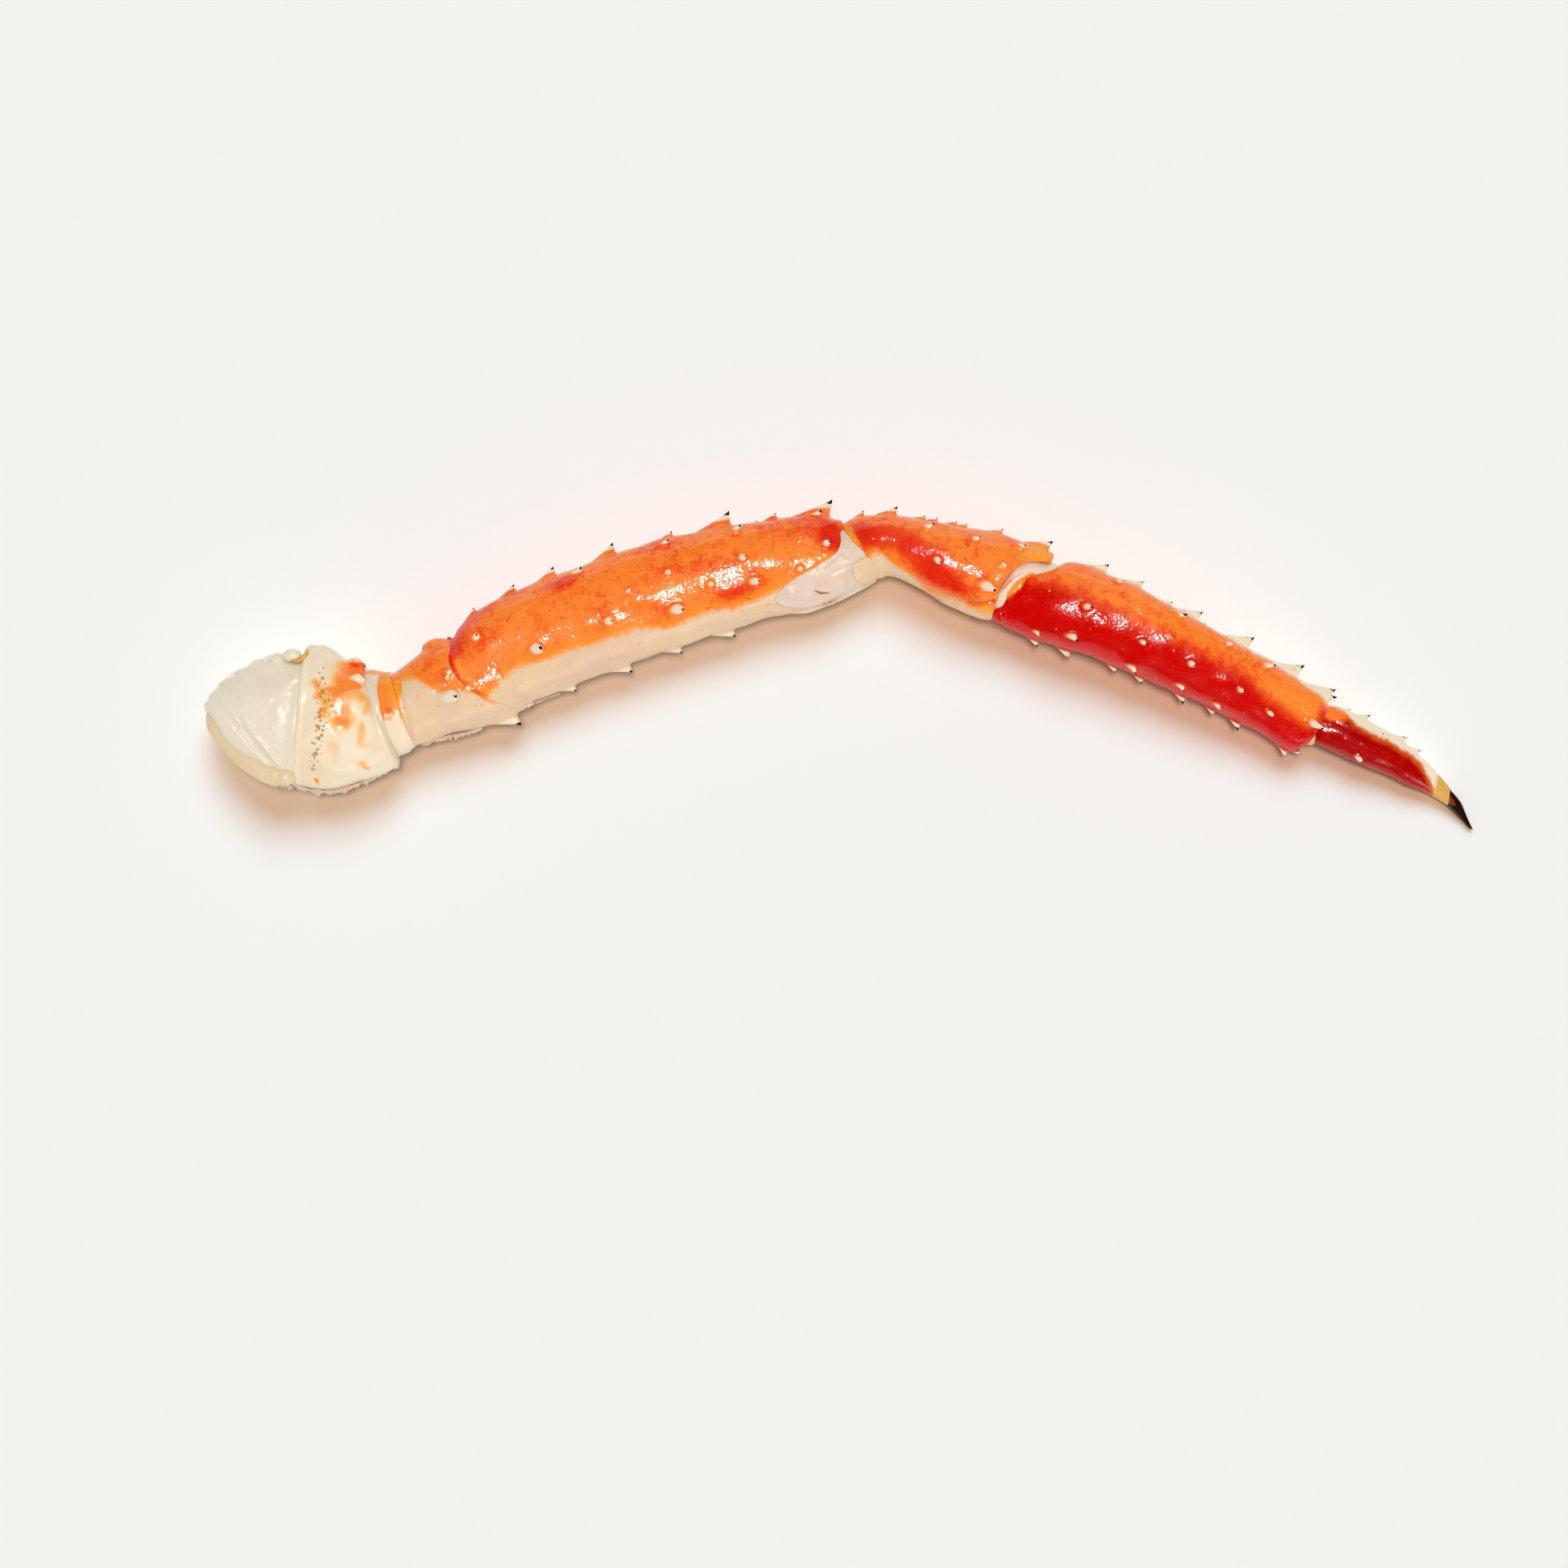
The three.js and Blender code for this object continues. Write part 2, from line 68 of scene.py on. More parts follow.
# A rib is [extensor x, extensor y, flexor x, flexor y, thickness, height of its centre].
SHELLS = {
    "shoulder": [
        [-217.5, -12.5, -217.5, -17.5, 12, 17], [-213, -8, -214, -24.5, 20, 16.5],
        [-207.5, -3.5, -209, -31, 25, 16.5], [-196, 1.5, -197, -39.5, 31, 16],
        [-184.5, 3.5, -188, -41.5, 32.5, 16],
    ],
    "coxa": [
        [-182.5, 6, -187.5, -41.5, 32, 16], [-177, 6, -180.5, -43, 34, 16.5],
        [-171, 2, -172.5, -42.5, 34, 16.5], [-164.5, -2, -159, -38.5, 31, 15.5],
        [-162.5, -9.5, -152.5, -35.5, 26.5, 15],
    ],
    "hip": [[-166, -1.5, -160, -34.5, 26, 15], [-155, -3, -148.5, -30.5, 19, 15]],
    "basis": [
        [-162, -5, -152.5, -31, 22, 15], [-158.5, -3.5, -149.5, -30, 24, 15],
        [-155.5, -3.5, -147, -28, 23.5, 15],
    ],
    "ischium": [
        [-155, -3.5, -146.5, -28, 23.5, 15], [-147, 2, -134.5, -24, 26, 14.5],
        [-139.5, 8, -122, -21, 27, 14], [-134, 8, -109.5, -16, 25, 14],
    ],
    "merus": [
        [-134.5, 7, -111, -15, 24.6, 14], [-131, 13.5, -106.5, -13, 25.4, 14],
        [-120, 21.5, -97, -9, 27.5, 14], [-95.5, 31.5, -76, -1, 28.5, 14],
        [-66, 42, -51, 7.5, 28.5, 14], [-33, 48.5, -25, 16, 27.5, 14],
        [-10, 51.5, -2.5, 21, 24.5, 14], [-1, 49.5, 8, 26.5, 20, 14],
    ],
    "collar": [
        [-139.5, 8, -122, -21, 27, 14], [-134, 8, -109.5, -16, 25.6, 14],
        [-131, 13.5, -106.5, -13, 25.6, 14], [-120, 21.5, -97, -9, 27.5, 14],
    ],
    "knee": [
        [-33, 48.5, -25, 16, 27.5, 14], [-14, 50, -7.5, 19, 25, 14],
        [-2, 48.5, 6, 25.5, 22, 14], [1.5, 47, 13.5, 30, 20, 14],
    ],
    "carpus": [
        [0.5, 48, 13, 29.5, 18, 14], [6.5, 51, 17.5, 30.5, 22, 14], [21, 51, 27, 26.5, 26.5, 14],
        [41, 47.5, 38, 20, 28.2, 14], [58, 44, 47.5, 15.5, 27, 14], [73, 38, 53, 15, 21, 14],
    ],
    "wrist": [[64, 38.5, 50.5, 16.5, 16.8, 14], [76, 33.5, 56.5, 14.5, 16, 14]],
    "head": [
        [69.5, 33.8, 52.4, 18.8, 17.6, 14], [74, 33, 54, 15.5, 20.2, 14], [79, 35, 58.5, 12, 22, 14],
    ],
    "propodus": [
        [74, 33, 54, 15.5, 18.5, 14], [79, 35, 58.5, 12, 22, 14], [88, 33, 68.5, 8, 25.5, 14],
        [104.5, 25.5, 87.5, 2, 28, 13.8], [129, 12, 116.5, -10, 26, 12.7],
        [152.5, -1, 142.5, -22.5, 22.5, 11], [165.5, -9, 155, -30, 18.5, 10],
        [169, -13.5, 159.5, -29, 15, 9.8],
    ],
    "claw_skin": [[160, -17, 157.5, -27.5, 10, 9.6], [166, -16, 163, -28, 9.4, 9.6]],
    "dactyl": [
        [167, -14, 165, -28, 11.5, 9.6], [173.5, -15, 172, -31, 13, 9.2],
        [187, -21.5, 183.5, -36, 13, 8.2], [199.5, -30, 193, -40, 11, 6.8],
        [209.5, -40, 206, -46, 7, 4.6], [215, -47.5, 213, -50.5, 4, 2.7],
        [218, -54.5, 217.5, -55, 1.6, 1.4],
    ],
}
# How far each shell's ends are domed: at its shoulder end and at its claw end.
DOMES = {
    "shoulder": (2, 4), "coxa": (1.2, 2), "hip": (2, 2), "basis": (1, 0.6), "ischium": (2, 1.5),
    "merus": (5, 1), "collar": (1, 1), "knee": (1, 2), "carpus": (1, 2.5), "wrist": (3, 1),
    "head": (1.6, 1), "propodus": (3.4, 1.5), "claw_skin": (1, 1.5), "dactyl": (3, 0.8),
}

# Plan outlines of the windows where the upper face is open, and of the plate in the knee.
KNEE_WINDOW = [
    (-24, 20), (-19.5, 27), (-8, 33.5), (0.5, 39.5), (0, 48.5), (20, 60), (30, 30), (8.5, 24.5),
    (-13, 18.5),
]
WRIST_WINDOW = [
    (73, 34.6), (67.5, 35.2), (62, 34.2), (58.4, 31.9), (55.4, 28), (54.1, 24.5), (53.8, 21.6),
    (52.4, 17.7), (51, 12), (62, 8), (82, 26),
]
KNEE_PLATE = [(3.5, 33.5), (7.5, 36), (12, 37), (15, 31), (8.5, 27), (4.5, 29)]

# The middle line of the shell bar beside the flesh.
BAR_PATH = [
    (-217, -15.5, 19), (-213.5, -22.5, 21.5), (-206.5, -31, 23), (-198.5, -36.5, 24),
    (-190.5, -39.5, 25),
]
# Small lumps, each where it lies and its three radii.
HINGE_KNOB = ((-165.2, -5.5, 27), (3.0, 2.3, 3.2))
BAR_KNOB = ((-190.6, -39, 24.5), (3.7, 3.1, 3.2))
ISCHIUM_HUMP = ((-138, 5.2, 15), (6.5, 3.6, 6))
WRIST_KNOB = ((54.9, 17.2, 16.5), (3.0, 3.2, 5.0))
GRISTLE = ((-188, 2.6, 25), (3.1, 2.4, 2.6))

# Beads round the shells: the place along the ribs, the radius and how far out they lie.
LIPS = {
    "coxa": [(0.1, 1.8, -1.3), (3.9, 0.9, -0.3)], "hip": [(0.45, 0.8, -0.4)], "basis": [(1.9, 0.8, -0.1)],
    "head": [(0.0, 1.5, -1.2)],
}

# Rows of spines: how far round and along they stand, how tall they are and the radius of their foot.
# One value stands for the whole row.
SPINES = {
    "ischium": [
        ([77, 82, 101, 99], [0.66, 0.61, 0.56, 0.75], [1.3, 1.1, 3.4, 1.2], [1.3, 1.1, 3.5, 1.3]),
        (178, [0.87], 4.4, 3.8),
        (216, [0.5, 0.8], 1.6, 1.4),
    ],
    "merus": [
        (3, [0.08, 0.18, 0.28, 0.43, 0.575, 0.7, 0.825, 0.95],
         [1.7, 2.6, 3.4, 3.8, 2.0, 5.2, 2.0, 5.8], [1.5, 1.8, 2.1, 2.2, 1.4, 3.0, 1.2, 3.1]),
        ([30, 33, 34, 24], [0.345, 0.56, 0.73, 0.935], [2, 2.4, 2.8, 3], [2.2, 1.5, 1.6, 1.7]),
        ([57, 79, 76, 75, 98], [0.05, 0.43, 0.725, 0.94, 0.86],
         [1.9, 1.2, 2.3, 2.4, 1.4], [1.8, 1.1, 1.7, 1.9, 1.3]),
        ([98, 98, 73, 109, 94, 102], [0.15, 0.35, 0.54, 0.525, 0.63, 0.74],
         [3.1, 2.2, 1.6, 3, 1.3, 2.7], [3, 2, 1.5, 2.7, 1.4, 2.1]),
        (180, [0.025, 0.16, 0.32, 0.475, 0.63], [1.8, 2.5, 3.2, 2.4, 3.0], [1.9, 2.3, 2.9, 2.2, 2.7]),
        (-28, [0.12, 0.24, 0.37, 0.5, 0.63, 0.77, 0.9],
         [2.2, 3, 2.4, 3.2, 2.2, 3, 3.4], [1.6, 2, 1.6, 2, 1.5, 1.9, 2]),
        (-52, [0.17, 0.32, 0.45, 0.58, 0.71, 0.84], 1.6, 1.3),
        (222, [0.1, 0.25, 0.4, 0.56, 0.7], 2, 1.6),
    ],
    "carpus": [
        (3, [0.1, 0.25, 0.4, 0.46, 0.55, 0.6, 0.765, 0.955],
         [1.8, 3.2, 1.4, 1.4, 1.6, 1.4, 2.1, 4.2], [1.4, 2.1, 1.2, 1.1, 1.2, 1.1, 1.6, 2.4]),
        ([45, 47, 35], [0.41, 0.655, 0.88], [2.8, 2, 1.6], [1.8, 1.5, 1.6]),
        ([93, 104, 75], [0.455, 0.775, 0.83], [2, 3.6, 1.2], [1.8, 2.5, 1.1]),
        (-30, [0.16, 0.34, 0.52, 0.7, 0.88], [2, 2.6, 2.2, 2.6, 3], 1.6),
        (212, [0.3, 0.55, 0.8], 1.6, 1.3),
    ],
    "propodus": [
        (3, [0.15, 0.275, 0.4, 0.49, 0.675, 0.86, 0.975],
         [3, 2.8, 1.2, 3.4, 4.4, 4.6, 4.4], [1.9, 1.9, 1, 2.2, 2.6, 2.5, 2]),
        ([34, 39, 43, 45, 15], [0.22, 0.45, 0.625, 0.765, 0.985],
         [2, 2.6, 2, 3, 3.6], [1.3, 1.6, 1.3, 1.8, 1.7]),
        ([88, 101, 99, 101, 111, 90], [0.18, 0.39, 0.55, 0.725, 0.84, 0.97],
         [2.4, 1.8, 2, 1.3, 1.9, 4], [1.7, 1.4, 1.5, 1.1, 1.4, 2]),
        ([146, 131, 147, 142, 146], [0.105, 0.2, 0.405, 0.56, 0.685],
         [1.6, 2.6, 2.6, 2.2, 2], [1.3, 2, 1.9, 1.6, 1.5]),
        (182, [0.12, 0.215, 0.365, 0.45, 0.585, 0.685, 0.77, 0.945, 0.985],
         [2.4, 3.2, 2.2, 2.2, 2.8, 2, 2.8, 2.4, 2], [1.6, 2, 1.6, 1.6, 1.8, 1.4, 1.8, 1.5, 1.3]),
        (-30, [0.12, 0.25, 0.39, 0.53, 0.67, 0.81, 0.93], [2.2, 2.8, 2.4, 3, 2.6, 3, 2.8], 1.7),
        (216, [0.16, 0.3, 0.45, 0.6, 0.75, 0.9], [2, 2.4, 2, 2.4, 2, 2.2], 1.5),
    ],
    "dactyl": [
        (8, [0.145, 0.24, 0.44, 0.53], [0.9, 2, 2.2, 1.4], [0.8, 1.1, 1.2, 1]),
        ([56, 140], [0.32, 0.235], [1.8, 1.9], [1.2, 1.7]),
        (-34, [0.2, 0.36, 0.5], 1.6, 1.1),
    ],
}

# ------------ fineness of the meshes

VOXEL = 0.44  # of the fused skins, in millimetres
# Large shells take coarser voxels and the slim claw finer ones, as parts of the usual size.
VOXEL_SHARE = {"merus": 1.16, "dactyl": 0.64}
RIB_STEP = 1.0
SIDES = 96
DOME_RINGS = 7
SPINE_SIDES = 16
SMOOTHING = 3
LUMP_STEP, LUMP_SIDES = 15, 24  # degrees between a lump's rings, and its sides
MARK_STEPS = 240  # places along a shell where points are measured against it
LENGTH_STEPS = 200  # places along a shell where its length is measured
WIDTH_STEPS = 30  # and its width, for paint
RIM_STEPS, RIM_BLOCK_STEPS = 60, 40
CHUNK = 20000  # points that are measured at once
SPINE_LEVELS = (0, 0.08, 0.15, 0.27, 0.4, 0.55, 0.7, 0.82, 0.92, 0.98)
HORN_RINGS = 6

# ------------ meshes


def mesh_of(points, faces):
    """A closed mesh with its faces pointing out."""
    made = bpy.data.meshes.new("solid")
    made.from_pydata(np.asarray(points).tolist(), [], faces)
    work = bmesh.new()
    work.from_mesh(made)
    bmesh.ops.recalc_face_normals(work, faces=work.faces)
    work.to_mesh(made)
    work.free()
    return made


def ring_faces(count, sides, closed=False):
    """Faces between rings of points, and from the last ring to the first if closed."""
    ring, k = np.meshgrid(np.arange(count if closed else count - 1), np.arange(sides), indexing="ij")
    a = ring * sides + k
    b = ring * sides + (k + 1) % sides
    ahead = ((ring + 1) % count - ring) * sides
    return np.stack([a, b, b + ahead, a + ahead], -1).reshape(-1, 4).tolist()


def closed_skin(rings, poles):
    """A solid over rings of points, closed at both ends by a pole."""
    count, sides = rings.shape[:2]
    faces = ring_faces(count, sides)
    first, last = count * sides, count * sides + 1
    end = (count - 1) * sides
    for k in range(sides):
        faces.append([first, (k + 1) % sides, k])
        faces.append([last, end + k, end + (k + 1) % sides])
    return mesh_of(np.vstack([rings.reshape(-1, 3), *poles]), faces)


def tube(path, radii, sides, closed=False, flat=1.0):
    """A tube along a list of points, with one radius for each, its section flattened by a share."""
    path = np.asarray(path, float)
    if closed:
        ahead = np.roll(path, -1, 0) - np.roll(path, 1, 0)
    else:
        ahead = np.gradient(path, axis=0)
    ahead /= np.linalg.norm(ahead, axis=1)[:, None]
    side = np.cross(ahead, [0, 0, 1.0])
    side /= np.maximum(np.linalg.norm(side, axis=1), 1e-6)[:, None]
    up = np.cross(side, ahead)
    turn = np.arange(sides) * 2 * math.pi / sides
    sideways = np.cos(turn)[None, :, None] * side[:, None]
    upwards = flat * np.sin(turn)[None, :, None] * up[:, None]
    rings = path[:, None] + np.asarray(radii, float)[:, None, None] * (sideways + upwards)
    if closed:
        return mesh_of(rings.reshape(-1, 3), ring_faces(len(rings), sides, True))
    return closed_skin(rings, (path[:1], path[-1:]))


def ellipsoid(at, size):
    """A round lump with its three radii."""
    latitude = np.radians(np.arange(LUMP_STEP - 90, 90, LUMP_STEP))
    turn = np.arange(LUMP_SIDES) * 2 * math.pi / LUMP_SIDES
    sphere = np.stack([
        np.cos(latitude)[:, None] * np.cos(turn),
        np.cos(latitude)[:, None] * np.sin(turn),
        np.repeat(np.sin(latitude)[:, None], LUMP_SIDES, 1),
    ], -1)
    radii = np.asarray(size, float)
    poles = ([[0, 0, -1]] * radii + at, [[0, 0, 1]] * radii + at)
    return closed_skin(sphere * radii + at, poles)


def prism(outline, floor, top=WINDOW_TOP):
    """An upright block over a plan outline."""
    count = len(outline)
    points = [(x, y, floor) for x, y in outline] + [(x, y, top) for x, y in outline]
    faces = [list(range(count)), list(range(count, 2 * count))]
    faces += [[k, (k + 1) % count, count + (k + 1) % count, count + k] for k in range(count)]
    return mesh_of(points, faces)


def spread_outline(outline, distance):
    """A plan outline whose edges are all moved outwards, or inwards if the distance is negative."""
    points = np.asarray(outline, float)
    after = np.roll(points, -1, 0)
    area = np.sum(points[:, 0] * after[:, 1] - after[:, 0] * points[:, 1])
    edge = after - points
    outward = np.column_stack([edge[:, 1], -edge[:, 0]]) * np.sign(area)
    outward /= np.linalg.norm(outward, axis=1)[:, None]
    before = np.roll(outward, 1, 0)
    mitre = distance / (1 + np.sum(before * outward, axis=1))
    return points + (before + outward) * mitre[:, None]


def round_outline(outline):
    """A plan outline with its corners cut twice, so that it reads as a curve."""
    points = np.asarray(outline, float)
    for _ in range(2):
        after = np.roll(points, -1, 0)
        points = np.stack([0.75 * points + 0.25 * after, 0.25 * points + 0.75 * after], 1).reshape(-1, 2)
    return points


def smooth_path(points, count):
    """Points spaced along a smooth curve through a few given ones."""
    rows = np.asarray(points, float)
    return rib_at(rows, np.linspace(0, len(rows) - 1, count))


def settled(mesh, *modifiers):
    """The mesh after a stack of modifiers, each given as its type and its settings."""
    holder = bpy.data.objects.new("blank", mesh)
    bpy.context.scene.collection.objects.link(holder)
    tools = []
    for kind, settings in modifiers:
        modifier = holder.modifiers.new(kind, kind)
        for key, value in settings.items():
            if isinstance(value, bpy.types.Mesh):
                value = bpy.data.objects.new("tool", value)
                bpy.context.scene.collection.objects.link(value)
                tools.append(value)
            setattr(modifier, key, value)
    graph = bpy.context.evaluated_depsgraph_get()
    made = bpy.data.meshes.new_from_object(holder.evaluated_get(graph), depsgraph=graph)
    for item in [holder, *tools]:
        data = item.data
        bpy.data.objects.remove(item)
        if data.users == 0:
            bpy.data.meshes.remove(data)
    return made


def changed(mesh, operation, *others):
    """The mesh less others (DIFFERENCE), joined with them (UNION) or where they meet (INTERSECT)."""
    steps = [
        ("BOOLEAN", {"operation": operation, "solver": "MANIFOLD", "object": other}) for other in others
    ]
    return settled(mesh, *steps)


def cut(mesh, *others):
    """The mesh with others cut away."""
    return changed(mesh, "DIFFERENCE", *others)


def gathered(meshes):
    """Several meshes laid into one, overlapping as they lie."""
    work = bmesh.new()
    for mesh in meshes:
        work.from_mesh(mesh)
        bpy.data.meshes.remove(mesh)
    made = bpy.data.meshes.new("gathered")
    work.to_mesh(made)
    work.free()
    return made


def fused(meshes, share):
    """One even skin round several overlapping solids, with softened corners. The share makes its
    voxels finer or coarser."""
    return settled(
        gathered(meshes),
        ("REMESH", {"mode": "VOXEL", "voxel_size": share * VOXEL, "use_smooth_shade": True}),
        ("SMOOTH", {"factor": 0.5, "iterations": SMOOTHING}),
    )


# ------------ ribs and lofts


def rib_at(ribs, places):
    """Rows at places along a list of rows, on a smooth curve through all of them."""
    rows = np.asarray(ribs, float)
    places = np.asarray(places, float)
    last = len(rows) - 1
    padded = np.vstack([2 * rows[:1] - rows[1:2], rows, 2 * rows[-1:] - rows[-2:-1]])
    i = np.clip(places.astype(int), 0, last - 1)
    f = (places - i)[:, None]
    a, b, c, d = (padded[i + k] for k in range(4))
    return b + 0.5 * f * (c - a + f * (2 * a - 5 * b + 4 * c - d + f * (3 * (b - c) + d - a)))


def bulged(value):
    """A sine or cosine that draws a squarish oval."""
    return np.sign(value) * np.abs(value) ** (2 / SQUARENESS)


class Sections:
    """A shell's upright oval sections at given places along its ribs."""

    def __init__(self, name, places, grow=0.0):
        rows = rib_at(SHELLS[name], places)
        ridge = rows[:, 0:2] - rows[:, 2:4]
        length = np.linalg.norm(ridge, axis=1)
        flat = np.zeros(len(rows))
        ridge = ridge / length[:, None]
        self.ridge = np.column_stack([ridge, flat])
        self.axis = np.column_stack([ridge[:, 1], -ridge[:, 0], flat])
        self.centre = np.column_stack([(rows[:, 0:2] + rows[:, 2:4]) / 2, rows[:, 5]])
        self.width = length / 2 + grow
        self.depth = rows[:, 4] / 2 + grow

    def points(self, degrees, scale=1.0, push=0.0):
        """The outline's points at each angle: 0 is the extensor ridge, 90 faces up."""
        angle = np.radians(np.atleast_1d(degrees))
        sideways = scale * self.width[:, None] * bulged(np.cos(angle))
        upwards = scale * self.depth[:, None] * bulged(np.sin(angle))
        made = self.centre[:, None] + sideways[..., None] * self.ridge[:, None]
        made = made + push * self.axis[:, None]
        made[..., 2] += upwards
        return made


def last_rib(name):
    """The place of a shell's last rib."""
    return len(SHELLS[name]) - 1


def loft(name, grow=0.0):
    """A closed solid over a shell's ribs, with domed ends."""
    last = last_rib(name)
    rough = Sections(name, np.linspace(0, last, 4 * last + 1)).centre
    length = np.linalg.norm(np.diff(rough, axis=0), axis=1).sum()
    steps = max(int(length / RIB_STEP), 6)
    angles = np.arange(SIDES) * 360 / SIDES
    barrel = Sections(name, np.linspace(0, last, steps + 1), grow).points(angles)
    ends = [Sections(name, [0], grow), Sections(name, [last], grow)]
    depths = [-DOMES[name][0] - grow, DOMES[name][1] + grow]
    turns = np.radians(90 * np.arange(1, DOME_RINGS) / DOME_RINGS)
    domes = [
        [end.points(angles, math.cos(turn), depth * math.sin(turn)) for turn in turns]
        for end, depth in zip(ends, depths)
    ]
    rings = np.vstack([*domes[0][::-1], barrel, *domes[1]])
    poles = [end.centre + depth * end.axis for end, depth in zip(ends, depths)]
    return closed_skin(rings, poles)


def room_for(name, seam=SEAM):
    """The room that a neighbour leaves free for a shell, less the seam where they meet."""
    return loft(name, -seam)


def table_block():
    """The block below the table's top, which trims what would sink into it."""
    half = TABLE_BLOCK / 2
    return prism([(-half, -half), (half, -half), (half, half), (-half, half)], -TABLE_BLOCK, 0.0)


def lips_on(name):
    """Round beads that follow a shell's outline."""
    made = []
    for place, radius, grow in LIPS[name]:
        path = Sections(name, [place], grow).points(np.arange(0, 360, 4))[0]
        made.append(tube(path, np.full(len(path), radius), 10, closed=True))
    return made


def lengths_along(cuts):
    """The distance from the shoulder end to each of a shell's sections."""
    steps = np.linalg.norm(np.diff(cuts.centre, axis=0), axis=1)
    return np.concatenate([[0], np.cumsum(steps)])


def widths_along(name, count):
    """The shell's half width at even shares of its length."""
    places = np.linspace(0, last_rib(name), LENGTH_STEPS)
    cuts = Sections(name, places)
    lengths = lengths_along(cuts)
    return np.interp(np.linspace(0, lengths[-1], count), lengths, cuts.width)


def draped(name, line, lift):
    """A plan line laid on a shell's upper face."""
    laid = np.column_stack([line, np.full(len(line), MID_HEIGHT)])
    along, across, _ = shell_marks(name, laid)
    cuts = Sections(name, np.linspace(0, last_rib(name), MARK_STEPS))
    shares = lengths_along(cuts)
    shares /= shares[-1]
    high = np.maximum(1 - np.abs(across) ** SQUARENESS, 0) ** (1 / SQUARENESS)
    laid[:, 2] = np.interp(along, shares, cuts.centre[:, 2]) + lift
    laid[:, 2] += high * np.interp(along, shares, cuts.depth)
    return laid


def shell_marks(name, points):
    """For each point: its share along the shell, how far across it lies (-1 flexor, 1 extensor) and
    how far up (-1 to 1)."""
    cuts = Sections(name, np.linspace(0, last_rib(name), MARK_STEPS))
    lengths = lengths_along(cuts)
    shares = lengths / lengths[-1]
    along, across, up = (np.empty(len(points)) for _ in range(3))
    for start in range(0, len(points), CHUNK):
        part = points[start:start + CHUNK]
        ahead = part @ cuts.axis.T - np.sum(cuts.centre * cuts.axis, axis=1)
        k = np.clip((ahead > 0).sum(1) - 1, 0, MARK_STEPS - 2)
        row = np.arange(len(part))
        here, there = ahead[row, k], ahead[row, k + 1]
        f = np.clip(here / np.where(here - there > 1e-9, here - there, 1), 0, 1)
        span = slice(start, start + len(part))
        along[span] = shares[k] + f * (shares[k + 1] - shares[k])
        off = part - (cuts.centre[k] + f[:, None] * (cuts.centre[k + 1] - cuts.centre[k]))
        across[span] = np.sum(off * cuts.ridge[k], axis=1) / cuts.width[k]
        up[span] = off[:, 2] / cuts.depth[k]
    return along, across, up


# ------------ spines

# Radius of a spine at shares of its height, as a part of its foot: a thorn, and a blunt tubercle.
THORN = ((0, 0.15, 0.4, 0.7, 0.9, 1), (1.15, 0.92, 0.64, 0.35, 0.15, 0))
TUBERCLE = ((0, 0.15, 0.4, 0.7, 0.9, 1), (1.15, 1.0, 0.8, 0.54, 0.26, 0))
SPINE_SINK = 1.4  # how deep the foot is sunk in the shell
TAIL = 2.2  # how much further a thorn's foot reaches towards the shoulder than sideways
FLEXOR_TAIL = 1.2  # the same on the flexor side
TAIL_CURVE = 1.3  # 1 draws the thorn's shoulder side straight, more hollows it
STUB = 0.3  # the same reach on a tubercle
LONG_STUB = 0.9  # and on the drawn out ones low on the face
LONG_FROM = 100  # degrees round the shell where these start
FACE_END = 150  # degrees round the shell where the thorns of the flexor side start
EXTENSOR_FROM = 300  # and those of the extensor side
THORN_LEAN = 0.75  # how far thorns lean towards the claw at most, for each unit they rise
# The same for tubercles.
FACE_LEAN = {"ischium": 0.45, "merus": 0.7, "carpus": 1.0, "propodus": 1.05, "dactyl": 0.6}
BLUNT = 1.7  # tubercles lower than this have no dark tip
STEEP = 0.9  # how far a foot reaches towards the claw, against its sides
MEASURE_ROUNDS = 3  # height and distance depend on each other, and settle in this many rounds
EDGE_ZONE = 40  # spines within this angle of a ridge are thorns with a long tail
FACE_FOOT = 0.76  # tubercles stand on a smaller foot
FOOT_SPREAD = 1.25  # how much wider the sunk foot is
# The share of the height where the dark horn starts.
TUBERCLE_HORN, THORN_HORN = 0.92, 0.77
LONG_HORN = {"propodus": 0.7, "dactyl": 0.62}
HORN_SINK = 0.1  # the share of the height by which the horn is sunk in the spine
HORN_SPREAD = 1.06  # how far it stands over it
HORN_FOOT, HORN_TOP = 0.85, 1.03  # the width of its sunk start, and where it ends
SHARP_FROM = 0.35  # the share of the height from where a tip is drawn out
SHARP_ROOM = 0.35  # how far outside its profile a point is still drawn out, in feet


def unit(vector):
    """The vector at a length of 1."""
    return vector / np.linalg.norm(vector)


